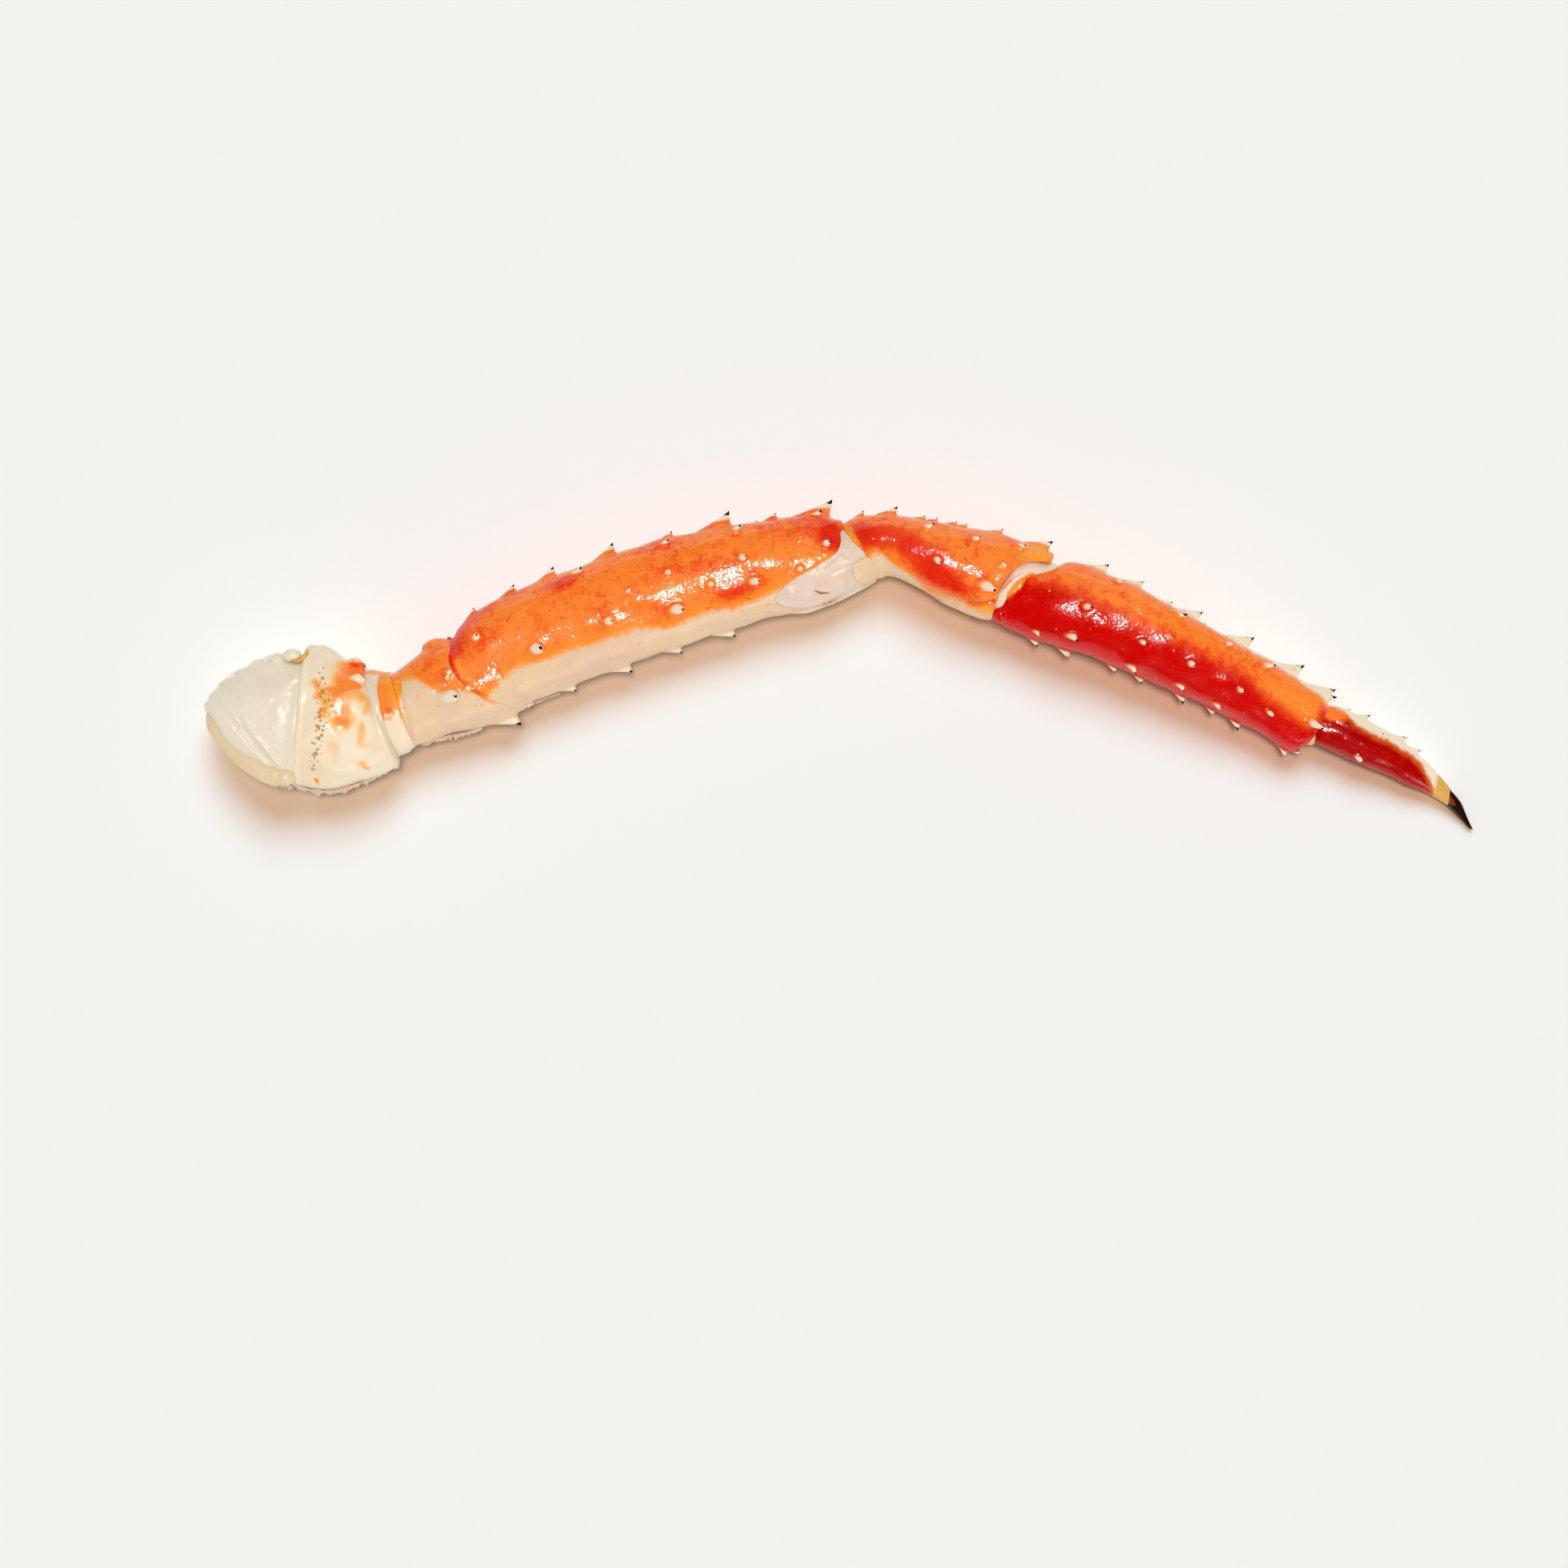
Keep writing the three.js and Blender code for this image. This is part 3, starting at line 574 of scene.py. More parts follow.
class Spine:
    """One spine: where it stands, its directions and its profile."""

    def __init__(self, name, share, degrees, tall, foot):
        last = last_rib(name)
        places = np.linspace(0, last, LENGTH_STEPS)
        lengths = lengths_along(Sections(name, places))

        def at(t, angle):
            return Sections(name, [min(max(t, 0), last)]).points(angle)[0, 0]

        degrees %= 360
        self.on_face = EDGE_ZONE < degrees < FACE_END
        self.on_extensor = degrees <= EDGE_ZONE or degrees > EXTENSOR_FROM
        self.profile = TUBERCLE if self.on_face else THORN
        self.stub = LONG_STUB if degrees > LONG_FROM else STUB
        self.reach = TAIL if self.on_extensor else FLEXOR_TAIL
        self.has_tip = not self.on_face or tall >= BLUNT
        self.horn_from = TUBERCLE_HORN if self.on_face else LONG_HORN.get(name, THORN_HORN)
        self.tall, self.foot = tall, foot * (FACE_FOOT if self.on_face else 1)
        upright = THORN[1][0] * STEEP * self.foot / tall
        self.lean = FACE_LEAN[name] if self.on_face else min(THORN_LEAN, upright)
        here = share * lengths[-1]
        place = np.interp(here, lengths, places)
        self.root = at(place, degrees)
        self.across = unit(at(place, degrees + 4) - self.root)
        self.forward = unit(at(place + 0.02, degrees) - at(place - 0.02, degrees))
        self.out = unit(np.cross(self.across, self.forward))
        back = at(np.interp(here - self.foot * self.tail(0), lengths, places), degrees) - self.root
        self.fall = (back @ self.out) / max(-(back @ self.forward), 0.5)

    def tail(self, share):
        """How far the shoulder side is drawn out at a share of the height, against its sides."""
        low = np.clip(1 - share, 0, 1)
        if self.on_face:
            return 1 + self.stub * low**1.5
        radius = np.maximum(np.interp(share, *self.profile), 0.1)
        return np.maximum((1 + self.reach) * low**TAIL_CURVE / radius, 1)

    def ring(self, share, spread=1.0):
        """The outline of the spine at a share of its height."""
        turn = np.arange(SPINE_SIDES) * 2 * math.pi / SPINE_SIDES
        radius = self.foot * np.interp(share, *self.profile) * spread
        ahead = radius * np.cos(turn)
        ahead *= np.where(ahead < 0, self.tail(share), STEEP)
        behind = np.maximum(-ahead, 0)
        return (
            self.lifted(share * self.tall) + ahead[:, None] * self.forward
            + (self.fall * behind)[:, None] * self.out
            + radius * np.sin(turn)[:, None] * self.across
        )

    def mesh(self):
        """The spine's solid, with its foot sunk in the shell."""
        rings = [self.ring(-SPINE_SINK / self.tall, FOOT_SPREAD)]
        rings += [self.ring(share) for share in SPINE_LEVELS]
        poles = (self.lifted(-SPINE_SINK)[None], self.lifted(self.tall)[None])
        return closed_skin(np.array(rings), poles)

    def tip(self):
        """The dark horn that ends the spine."""
        start = self.horn_from
        rings = [self.ring(start - HORN_SINK, HORN_FOOT)]
        rings += [self.ring(start + (1 - start) * k / HORN_RINGS, HORN_SPREAD) for k in range(HORN_RINGS)]
        poles = [self.lifted(share * self.tall)[None] for share in (start - HORN_SINK, HORN_TOP)]
        return closed_skin(np.array(rings), poles)

    def lifted(self, rise):
        """The middle of the spine at a height above its root."""
        return self.root + rise * self.out + self.lean * max(rise, 0) * self.forward

    def measure(self, points):
        """For each point its share of the spine's height and its distance from the spine's axis as a
        part of the foot."""
        off = points - self.root
        up, along = off @ self.out, off @ self.forward
        rise = up
        for _ in range(MEASURE_ROUNDS):
            ahead = along - self.lean * np.maximum(rise, 0)
            rise = up - self.fall * np.maximum(-ahead, 0)
        share = rise / self.tall
        ahead = np.where(ahead < 0, ahead / self.tail(share), ahead / STEEP)
        return share, np.hypot(ahead, off @ self.across) / self.foot

    def sharpen(self, points):
        """Draws the tip, which an even skin leaves blunt, back out to its full height."""
        start = SHARP_FROM
        share, off = self.measure(points)
        held = (share > start) & (share < 1.2) & (off < np.interp(share, *self.profile) + SHARP_ROOM)
        if held.sum() < 4:
            return
        reach = max(share[held].max(), start + 0.1)
        drawn = start + (share[held] - start) * (1 - start) / (reach - start)
        lean = self.out + self.lean * self.forward
        old = self.root + np.outer(share[held] * self.tall, lean)
        new = self.root + np.outer(drawn * self.tall, lean)
        wanted = np.interp(drawn, *self.profile)
        squeeze = np.clip(wanted / np.maximum(off[held], 0.02), 0.3, 1.0)
        points[held] = new + (points[held] - old) * squeeze[:, None]


def spines_on(name):
    """All the spines of a shell."""
    made = []
    for degrees, along, tall, foot in SPINES.get(name, []):
        values = (along, degrees, tall, foot)
        columns = [value if isinstance(value, list) else [value] * len(along) for value in values]
        made += [Spine(name, *row) for row in zip(*columns)]
    return made


# ------------ relief and painted zones


SEED_SHIFT = 17.3  # how far apart the noise of two seeds lies


def clouds(points, size, seed):
    """Smooth noise from -1 to 1 with bumps of about the given size."""
    shifted = points / size + seed * SEED_SHIFT
    return np.array([noise.noise(place) for place in shifted.tolist()])


def swollen(points, layers):
    """Layers of noise: each is its height, the size of its bumps and its seed."""
    return sum(height * clouds(points, size, seed) for height, size, seed in layers)


def segment_distance(points, start, end):
    """Distance in plan from each point to a straight stroke."""
    a, b = np.asarray(start, float), np.asarray(end, float)
    along = b - a
    t = np.clip(((points[:, :2] - a) @ along) / max(along @ along, 1e-9), 0, 1)
    return np.linalg.norm(points[:, :2] - (a + t[:, None] * along), axis=1)


def edge_distance(points, outline):
    """Distance in plan from each point to an outline."""
    pairs = zip(outline, [*outline[1:], outline[0]])
    return np.min([segment_distance(points, a, b) for a, b in pairs], axis=0)


def distance(points, places):
    """The distance from each point to the nearest of a few places."""
    return np.min([np.linalg.norm(points - np.asarray(place), axis=1) for place in places], axis=0)


def stroked(points, strokes, upper=None):
    """The sum of soft strokes: each is its plan points, its height and its half width."""
    total = np.zeros(len(points))
    for path, height, half_width in strokes:
        steps = list(zip(path, path[1:])) or [(path[0], path[0])]
        off = np.min([segment_distance(points, a, b) for a, b in steps], axis=0)
        total += height * np.exp(-((off / half_width) ** 2))
    return total if upper is None else total * upper


def blobs(along, across, patches):
    """Soft patches on a shell: each is where it lies along and across, its reach both ways and its
    strength."""
    total = np.zeros(len(along))
    for at, side, reach, breadth, strength in patches:
        far = ((along - at) / reach) ** 2 + ((across - side) / breadth) ** 2
        total += strength * np.exp(-far)
    return total


def curve(pairs, along):
    """A line that runs along a shell, read at each share."""
    shares, values = zip(*pairs)
    return np.interp(along, shares, values)


def blended(edge, value, softness):
    """From 0 to 1 as a value passes an edge."""
    return 1 / (1 + np.exp(-(value - edge) / softness))


# The height where a piece's upper face starts, and how softly.
COXA_UPPER, FLESH_UPPER, SKIN_UPPER = (17, 0.8), (17, 1.2), (14, 1.0)


def painted_above(strokes, floor, softness, drift=None):
    """The paint of strokes on a piece's upper face, on points that may drift."""

    def paint(points):
        upper = blended(floor, points[:, 2], softness)
        return stroked(drift(points) if drift else points, strokes, upper)

    return paint


# ------------ shader expressions


def linear(red, green, blue):
    """A display colour, from 0 to 255, as the light it stands for."""

    def one(value):
        value /= 255
        return value / 12.92 if value <= 0.04045 else ((value + 0.055) / 1.055) ** 2.4

    return one(red), one(green), one(blue)


class Field:
    """A socket that plain arithmetic builds on: an expression on fields adds its Math nodes."""

    def __init__(self, finish, socket):
        self.finish, self.socket = finish, socket

    def math(self, operation, *values):
        """A Math node on values and fields."""
        return self.finish.node("ShaderNodeMath", {"operation": operation}, dict(enumerate(values)))

    def __add__(self, other):
        return self.math("ADD", self, other)

    def __sub__(self, other):
        return self.math("SUBTRACT", self, other)

    def __rsub__(self, other):
        return self.math("SUBTRACT", other, self)

    def __mul__(self, other):
        return self.math("MULTIPLY", self, other)

    def __abs__(self):
        return self.math("ABSOLUTE", self)

    __radd__, __rmul__ = __add__, __mul__


class Finish:
    """A material under construction."""

    def __init__(self, name, **constants):
        self.material = bpy.data.materials.new(name)
        self.material.use_nodes = True
        self.tree = self.material.node_tree
        self.shader = self.tree.nodes["Principled BSDF"]
        self.place = self.node("ShaderNodeTexCoord", output="Object")
        self.set(**constants)

    def node(self, kind, settings=None, sockets=None, output=0):
        """Any node: its settings first, then the values or links of its sockets."""
        made = self.tree.nodes.new(kind)
        for key, value in (settings or {}).items():
            setattr(made, key, value)
        for key, value in (sockets or {}).items():
            self.feed(made.inputs[key], value)
        return Field(self, made.outputs[output])

    def feed(self, socket, value):
        """Links a field to a socket, or sets the socket's own value."""
        if isinstance(value, Field):
            self.tree.links.new(value.socket, socket)
        elif socket.type == "RGBA":
            socket.default_value = (*value, 1)
        else:
            socket.default_value = value

    def set(self, **sockets):
        """Values or links of the shader's own sockets, with underscores for spaces."""
        for key, value in sockets.items():
            self.feed(self.shader.inputs[key.replace("_", " ")], value)

    def mark(self, name):
        """A value painted on the mesh."""
        return self.node("ShaderNodeAttribute", {"attribute_name": name}, output="Fac")

    def noise(self, size, detail, roughness=0.5, distortion=0.0):
        """Noise from 0 to 1 with features of a size in millimetres."""
        sockets = {
            "Vector": self.place, "Scale": 1 / (size * MM), "Detail": detail,
            "Roughness": roughness, "Distortion": distortion,
        }
        return self.node("ShaderNodeTexNoise", None, sockets)

    def dots(self, spacing, radius, softness, space="3D", ragged=0.0):
        """Dots from 0 to 1, with their spacing and radius in millimetres, round unless another field
        makes them ragged. In 2D they go right through the piece from above."""
        sockets = {"Vector": self.place, "Scale": 1 / (spacing * MM)}
        far = self.node("ShaderNodeTexVoronoi", {"voronoi_dimensions": space}, sockets)
        edge = radius / spacing
        return 1 - self.step(far + ragged, edge * (1 - softness), edge)

    def step(self, value, low, high):
        """A smooth step from 0 to 1 between two values."""
        sockets = {"Value": value, "From Min": low, "From Max": high}
        return self.node("ShaderNodeMapRange", {"interpolation_type": "SMOOTHSTEP"}, sockets)

    def mix(self, factor, first, second):
        """A colour between two."""
        sockets = {0: factor, 6: first, 7: second}
        return self.node("ShaderNodeMix", {"data_type": "RGBA"}, sockets, output=2)

    def bump(self, height, depth):
        """Fine relief, with its depth in millimetres."""
        sockets = {"Height": height, "Distance": depth * MM, "Strength": 1.0}
        return self.node("ShaderNodeBump", None, sockets)


# ------------ what a user can change


def colour(name, description, red, green, blue):
    return bpy.props.FloatVectorProperty(
        name=name, description=description, subtype="COLOR", size=3, min=0, max=1,
        default=linear(red, green, blue),
    )


class LegColours(bpy.types.PropertyGroup):
    """Colours of the leg."""

    orange: colour("Orange", "Main colour of the shells", 254, 137, 50)
    glow: colour("Pale orange", "Lighter clouds in the orange", 255, 152, 74)
    rust: colour("Rust", "Veins and darker clouds in the orange", 238, 72, 24)
    red: colour("Deep red", "Lower side of the propodus", 210, 4, 2)
    scarlet: colour("Bright red", "Red patches on the orange shells", 230, 44, 16)
    crimson: colour("Dark red", "The claw's shell", 172, 2, 1)
    amber: colour("Amber", "Yellowish rims and spots", 250, 160, 44)
    peach: colour("Peach", "Faint orange on the cream shells", 248, 186, 110)
    cream: colour("Cream", "Flexor side of the shells", 232, 203, 166)
    ivory: colour("Ivory", "Spines and the shells at the shoulder", 242, 229, 203)
    pink: colour("Pink", "Blush in the cream and the joint skins", 227, 190, 166)
    skin: colour("Joint skin", "Skin that closes the joints", 232, 212, 196)
    flesh: colour("Flesh", "Torn flesh at the shoulder", 236, 229, 209)
    bar: colour("Shell edge", "Cut shell edge beside the flesh", 226, 207, 168)
    tan: colour("Tan", "Shell before the claw's tip", 220, 170, 88)
    gold: colour("Gold", "Gristle and pits", 206, 148, 52)
    black: colour("Tip", "Tips of the spines and the claw", 40, 10, 5)
    brown: colour("Brown", "Bristles and the claw's core", 122, 58, 20)


class LegSizes(bpy.types.PropertyGroup):
    """Sizes of the leg's fine detail."""

    relief: bpy.props.FloatProperty(
        name="Relief", description="Depth of the shells' soft swellings", default=0.6 * MM,
        min=0, max=0.002, unit="LENGTH", precision=5,
    )
    bristle: bpy.props.FloatProperty(
        name="Bristle", description="Thickness of a bristle", default=0.22 * MM,
        min=0.0001, max=0.001, unit="LENGTH", precision=5,
    )


class StudioSettings(bpy.types.PropertyGroup):
    """Camera, lights and table."""

    camera_height: bpy.props.FloatProperty(
        name="Camera height", description="Of the lens above the table", default=1.367,
        min=0.2, unit="LENGTH",
    )
    lens: bpy.props.FloatProperty(
        name="Lens", description="Focal length", default=90.0, min=20, unit="CAMERA",
    )
    sun_strength: bpy.props.FloatProperty(
        name="Suns", description="Strength of the suns that light the leg", default=1.0, min=0,
    )
    table_light: bpy.props.FloatProperty(
        name="Table light", description="Strength of the suns that light the table", default=1.0, min=0,
    )
    gloss: bpy.props.FloatProperty(
        name="Gloss", description="Strength of the panels that the gloss shows", default=1.0, min=0,
    )
    sky: bpy.props.FloatProperty(
        name="Sky", description="Strength of the light from all round", default=0.2, min=0,
    )
    table: colour("Table", "Colour of the table", 244, 243, 242)


# ------------ finishes

SHELL_MARKS = ("cream", "deep", "amber", "horn", "rise", "cap", "foot")


def shell_finish(name, colours, red, border, pale_tones):
    """Wet shell: orange and red clouds with pale dots, a cream side, and ivory spines with dark tips."""
    f = Finish(
        name, Subsurface_Weight=0.05, Subsurface_Radius=(1.0, 0.3, 0.1), Subsurface_Scale=1.5 * MM,
        Specular_IOR_Level=0.34,
    )
    cream, deep, amber, horn, rise, cap, foot = map(f.mark, SHELL_MARKS)
    cloud = f.noise(15, 3, 0.55, 0.5) - 0.5
    mottle = f.noise(3.4, 4, 0.6, 0.5) - 0.5
    fleck = f.noise(1.0, 3, 0.6) - 0.5
    grain = f.noise(1.2, 1) - 0.5
    vein = abs(f.noise(5.5, 5, 0.6, 1.1) - 0.5)
    tint = f.mix(0.7 * f.step(cloud + 0.5 * mottle, -0.05, 0.35), colours.orange, colours.glow)
    flush = 0.9 * mottle + 1.0 * fleck - 1.0 * cloud + 0.22 * foot
    tint = f.mix(0.8 * f.step(flush, 0.0, 0.45), tint, colours.rust)
    tint = f.mix(0.4 * (1 - f.step(vein, 0.0, 0.022)), tint, colours.rust)
    blood = f.mix(0.6 * f.step(mottle + 0.7 * fleck, -0.05, 0.35), red, colours.rust)
    wine = f.mix(0.4 * f.step(mottle + 0.5 * fleck, 0.0, 0.3), red, colours.scarlet)
    depth = deep + 1.0 * mottle + 0.35 * cloud + 0.5 * fleck
    tint = f.mix(0.9 * f.step(depth, 0.05, 0.55), tint, colours.rust)
    tint = f.mix(f.step(depth, 0.35, 0.95), tint, f.mix(f.step(deep, 0.8, 1.15), blood, wine))
    branches = (1 - f.step(vein, 0.0, 0.035)) * f.step(deep, 0.5, 1.0)
    tint = f.mix(0.4 * branches, tint, colours.crimson)
    tint = f.mix(f.step(amber + 0.6 * mottle, 0.15, 0.9), tint, colours.amber)
    pale = f.mix(f.step(cloud + 0.4 * mottle, -0.2, 0.35), *pale_tones)
    side = cream + 4.0 * mottle + 2.5 * cloud + 1.5 * fleck
    tint = f.mix(0.25 * f.step(cap, 0.02, 0.4), tint, colours.amber)
    fade = f.mix(0.6 * f.step(side, -4.5, -0.5), tint, border)
    tint = f.mix(0.8 * f.step(cream, -9.0, -3.0), tint, fade)
    tint = f.mix(f.step(side, -1.6, 1.4), tint, pale)
    islands = f.dots(5.0, 1.0, 0.7) * f.step(side, 0.5, 1.5) * (1 - f.step(side, 5.0, 9.0))
    tint = f.mix(0.6 * islands, tint, colours.orange)
    tint = f.mix(f.step(horn + 0.5 * mottle, 0.3, 0.8), tint, colours.tan)
    beads = f.dots(5.4, 0.5, 0.6) * (1 - f.step(side, -2.0, 0.0))
    tint = f.mix(0.7 * beads, tint, colours.peach)
    grit = f.dots(1.9, 0.8, 0.7) * f.step(amber, 0.2, 0.6)
    tint = f.mix(0.5 * grit, tint, colours.peach)
    tint = f.mix(0.97 * f.step(cap + 0.25 * mottle, 0.25, 0.8), tint, colours.ivory)
    specks = f.dots(6.3, 0.27, 0.3)
    tint = f.mix(0.8 * specks, tint, colours.black)
    tint = f.mix(f.step(rise, 0.72, 0.85), tint, colours.brown)
    tint = f.mix(f.step(rise, 1.0, 1.1), tint, colours.black)
    gloss = 0.17 + 0.1 * fleck + 0.2 * cloud + 0.13 * f.step(side, -1.0, 1.0)
    relief = 0.45 * grain + 0.25 * mottle + 0.3 * beads + 0.7 * grit
    f.set(Base_Color=tint, Roughness=gloss, Normal=f.bump(relief, 0.26))
    return f.material


def bone_finish(name, colours, tone):
    """Smooth pale shell with soft orange clouds and golden pits."""
    f = Finish(
        name, Subsurface_Weight=0.15, Subsurface_Radius=(1.0, 0.55, 0.3), Subsurface_Scale=2 * MM,
        Specular_IOR_Level=0.35,
    )
    orange, deep, amber, pitted = map(f.mark, ("orange", "deep", "amber", "pitted"))
    cloud = f.noise(12, 3, 0.5) - 0.5
    mottle = f.noise(2.8, 4, 0.6, 0.5) - 0.5
    swell = f.noise(3.2, 1) - 0.5
    tint = f.mix(0.45 * f.step(cloud + 0.3 * mottle, -0.1, 0.35), tone, colours.cream)
    patch = orange + 0.35 * mottle + 0.25 * cloud
    tint = f.mix(0.95 * f.step(patch, 0.02, 0.5), tint, colours.peach)
    tint = f.mix(0.95 * f.step(patch + 0.5 * mottle, 0.35, 0.95), tint, colours.orange)
    tint = f.mix(0.85 * f.step(deep + 0.5 * mottle, 0.2, 0.8), tint, colours.rust)
    tint = f.mix(f.step(amber, 0.2, 0.9), tint, colours.amber)
    ragged = 0.5 * f.noise(1.1, 1) - 0.25
    big, small = f.dots(2.9, 0.85, 0.5, "2D", ragged), f.dots(1.9, 0.5, 0.5, "2D", ragged)
    pits = pitted * (big + small)
    hollow = f.mix(0.15 + mottle, colours.gold, colours.brown)
    tint = f.mix(0.9 * f.step(pits + 0.8 * mottle, 0.3, 0.9), tint, hollow)
    specks = f.dots(9.5, 0.3, 0.3)
    tint = f.mix(0.6 * specks, tint, colours.brown)
    f.set(
        Base_Color=tint, Roughness=0.24 + 0.15 * mottle, Normal=f.bump(0.8 * swell - 0.6 * pits, 0.22),
    )
    return f.material


def skin_finish(name, colours, tone, blush, wet=0.55):
    """Moist thin skin with faint folds and a blush of another colour."""
    f = Finish(
        name, Subsurface_Weight=0.35, Subsurface_Radius=(1.0, 0.6, 0.4), Subsurface_Scale=3 * MM,
        Specular_IOR_Level=wet,
    )
    orange = f.mark("orange")
    cloud = f.noise(13, 2) - 0.5
    crease = f.noise(3.2, 4, 0.55, 0.7) - 0.5
    grain = f.noise(0.9, 2) - 0.5
    tint = f.mix(0.55 * f.step(cloud + 0.3 * crease, -0.1, 0.4), tone, blush)
    tint = f.mix(0.25 * f.step(crease, 0.0, 0.3), tint, colours.ivory)
    tint = f.mix(0.9 * f.step(orange + 0.4 * crease, 0.25, 0.9), tint, colours.amber)
    f.set(
        Base_Color=tint, Roughness=0.33 + 0.2 * grain,
        Normal=f.bump(0.8 * crease + 0.3 * grain, 0.25),
    )
    return f.material


def gristle_finish(name, colours):
    """Pinkish white gristle with a golden edge."""
    f = Finish(name, Subsurface_Weight=0.3, Subsurface_Scale=2 * MM, Specular_IOR_Level=0.6)
    ring = f.mark("orange")
    crease = f.noise(1.6, 4, 0.6, 0.6) - 0.5
    tint = f.mix(f.step(ring + 0.3 * crease, 0.35, 0.7), colours.flesh, colours.tan)
    f.set(Base_Color=tint, Roughness=0.28 + 0.2 * crease, Normal=f.bump(crease, 0.2))
    return f.material


def horn_finish(name, colours):
    """Black horn with a faint gloss, brown where its core is painted."""
    f = Finish(name, Specular_IOR_Level=0.06)
    core = f.mark("core")
    streak = f.noise(1.2, 3, 0.6, 0.4) - 0.5
    tint = f.mix(f.step(core + 0.5 * streak, 0.35, 0.75), colours.black, colours.brown)
    f.set(Base_Color=tint, Roughness=0.3 + 0.2 * streak, Normal=f.bump(streak, 0.1))
    return f.material


def bristle_finish(colours):
    """Stiff brown bristle, and golden fibre."""
    f = Finish("bristle", Roughness=0.5)
    streak = f.noise(1.5, 2)
    bristle = f.mix(streak, colours.brown, colours.black)
    f.set(Base_Color=f.mix(f.mark("fibre"), bristle, f.mix(streak, colours.gold, colours.brown)))
    return f.material


def table_finish(settings):
    """A plain pale matt table."""
    f = Finish("pale table", Roughness=0.9, Specular_IOR_Level=0.0)
    dusky = [0.985 * value for value in settings.table]
    f.set(Base_Color=f.mix(f.noise(300, 1), settings.table, dusky))
    return f.material


# ------------ dressing a piece


def vertex_rows(mesh, key):
    """Three values of each vertex, as rows."""
    flat = np.empty(len(mesh.vertices) * 3)
    mesh.vertices.foreach_get(key, flat)
    return flat.reshape(-1, 3)


def points_of(mesh):
    """The places of a mesh's vertices."""
    return vertex_rows(mesh, "co")


def dress(name, mesh, points, marks, material, node):
    """Makes the object of a piece from its settled mesh and its moved points."""
    points[:, 2] = np.maximum(points[:, 2], 0)
    mesh.vertices.foreach_set("co", (points * MM).ravel())
    for mark, values in marks.items():
        mesh.attributes.new(mark, "FLOAT", "POINT").data.foreach_set("value", values)
    mesh.materials.clear()
    mesh.materials.append(material)
    mesh.shade_smooth()
    mesh.update()
    mesh.name = name
    made = bpy.data.objects.new(name, mesh)
    bpy.context.scene.collection.objects.link(made)
    if len(mesh.polygons) == 0:
        raise RuntimeError(f"{name} came out empty")
    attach(made, BODY)
    if node:
        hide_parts(node)
    return made


def skinned(name, solids, node, slot, finish, swellings, folds=None, fineness=1.0, **paints):
    """Fuses the solids of a piece, raises its swellings and folds and dresses it. The folds and the
    paint of each mark are worked out from the points."""
    mesh = fused(solids, fineness)
    points = points_of(mesh)
    relief = swollen(points, swellings)
    if folds:
        relief += folds(points)
    points += vertex_rows(mesh, "normal") * relief[:, None]
    marks = {mark: paint(points) for mark, paint in paints.items()}
    return dress(name, mesh, points, marks, finish, node)


# The share of a spine's height where its ivory starts, and over how much it sets in.
EXTENSOR_CAP, FACE_CAP, FLEXOR_CAP = (0.3, 0.3), (0, 0.6), (0.1, 0.3)
TIP_DELAY = 0.13  # a tubercle is dark only nearer its top than a thorn is
PLAIN_RISE = 0.3  # the share of its height that a spine with no dark tip is painted for
SPINE_SPAN = (-0.3, 1.3)  # the shares of its height between which a point is a spine's
PROFILE_ROOM = 0.45  # how far outside its profile a point is still the spine's, in feet
FOOT_REACH = 2.2  # how far the ground round a spine is painted, in feet


def spine_marks(points, spines):
    """Height up the spines, their ivory caps and the ground round their feet."""
    rise, cap, foot = (np.zeros(len(points)) for _ in range(3))
    for one in spines:
        share, off = one.measure(points)
        near = (share > SPINE_SPAN[0]) & (share < SPINE_SPAN[1])
        near &= off < np.interp(share, *one.profile) + PROFILE_ROOM
        height = np.clip(share, 0, 1) - (TIP_DELAY if one.on_face else 0)
        rise = np.maximum(rise, np.where(near, height * (1 if one.has_tip else PLAIN_RISE), 0))
        start, span = EXTENSOR_CAP if one.on_extensor else FACE_CAP if one.on_face else FLEXOR_CAP
        cap = np.maximum(cap, np.where(near, np.clip((share - start) / span, 0, 1), 0))
        foot = np.maximum(foot, (np.abs(share) < 1.2) * np.exp(-((off / FOOT_REACH) ** 2)))
    return {"rise": rise, "cap": cap, "foot": foot}


# ------------ the spined shells

CREAM_EDGE = {
    "ischium": [(0, 0.1), (0.07, 0.3), (0.12, 0.6), (0.22, 0.6), (0.3, 0.45), (0.38, 0.2), (0.45, -0.04),
                (0.6, -0.14), (0.75, -0.27), (0.8, -0.42), (0.83, -0.56), (0.88, -0.66), (1, -0.68)],
    "merus": [(0, -0.4), (0.03, -0.36), (0.05, -0.33), (0.09, -0.36), (0.15, -0.41), (0.22, -0.44),
              (0.3, -0.5), (0.36, -0.47), (0.4, -0.47), (0.48, -0.63), (0.57, -0.6), (0.62, -0.6),
              (0.66, -0.68), (0.75, -0.6), (0.8, -0.52), (0.89, -0.38), (0.97, -0.12), (1, -0.1)],
    "carpus": [(0, -0.4), (0.05, -0.3), (0.08, -0.34), (0.14, -0.62), (0.24, -0.78), (0.35, -1.0),
               (0.42, -1.02), (0.49, -0.94), (0.56, -0.88), (0.75, -0.87), (1, -0.9)],
    "propodus": [(0, -1.4), (1, -1.4)],
    "dactyl": [(0, -1.4), (1, -1.4)],
}
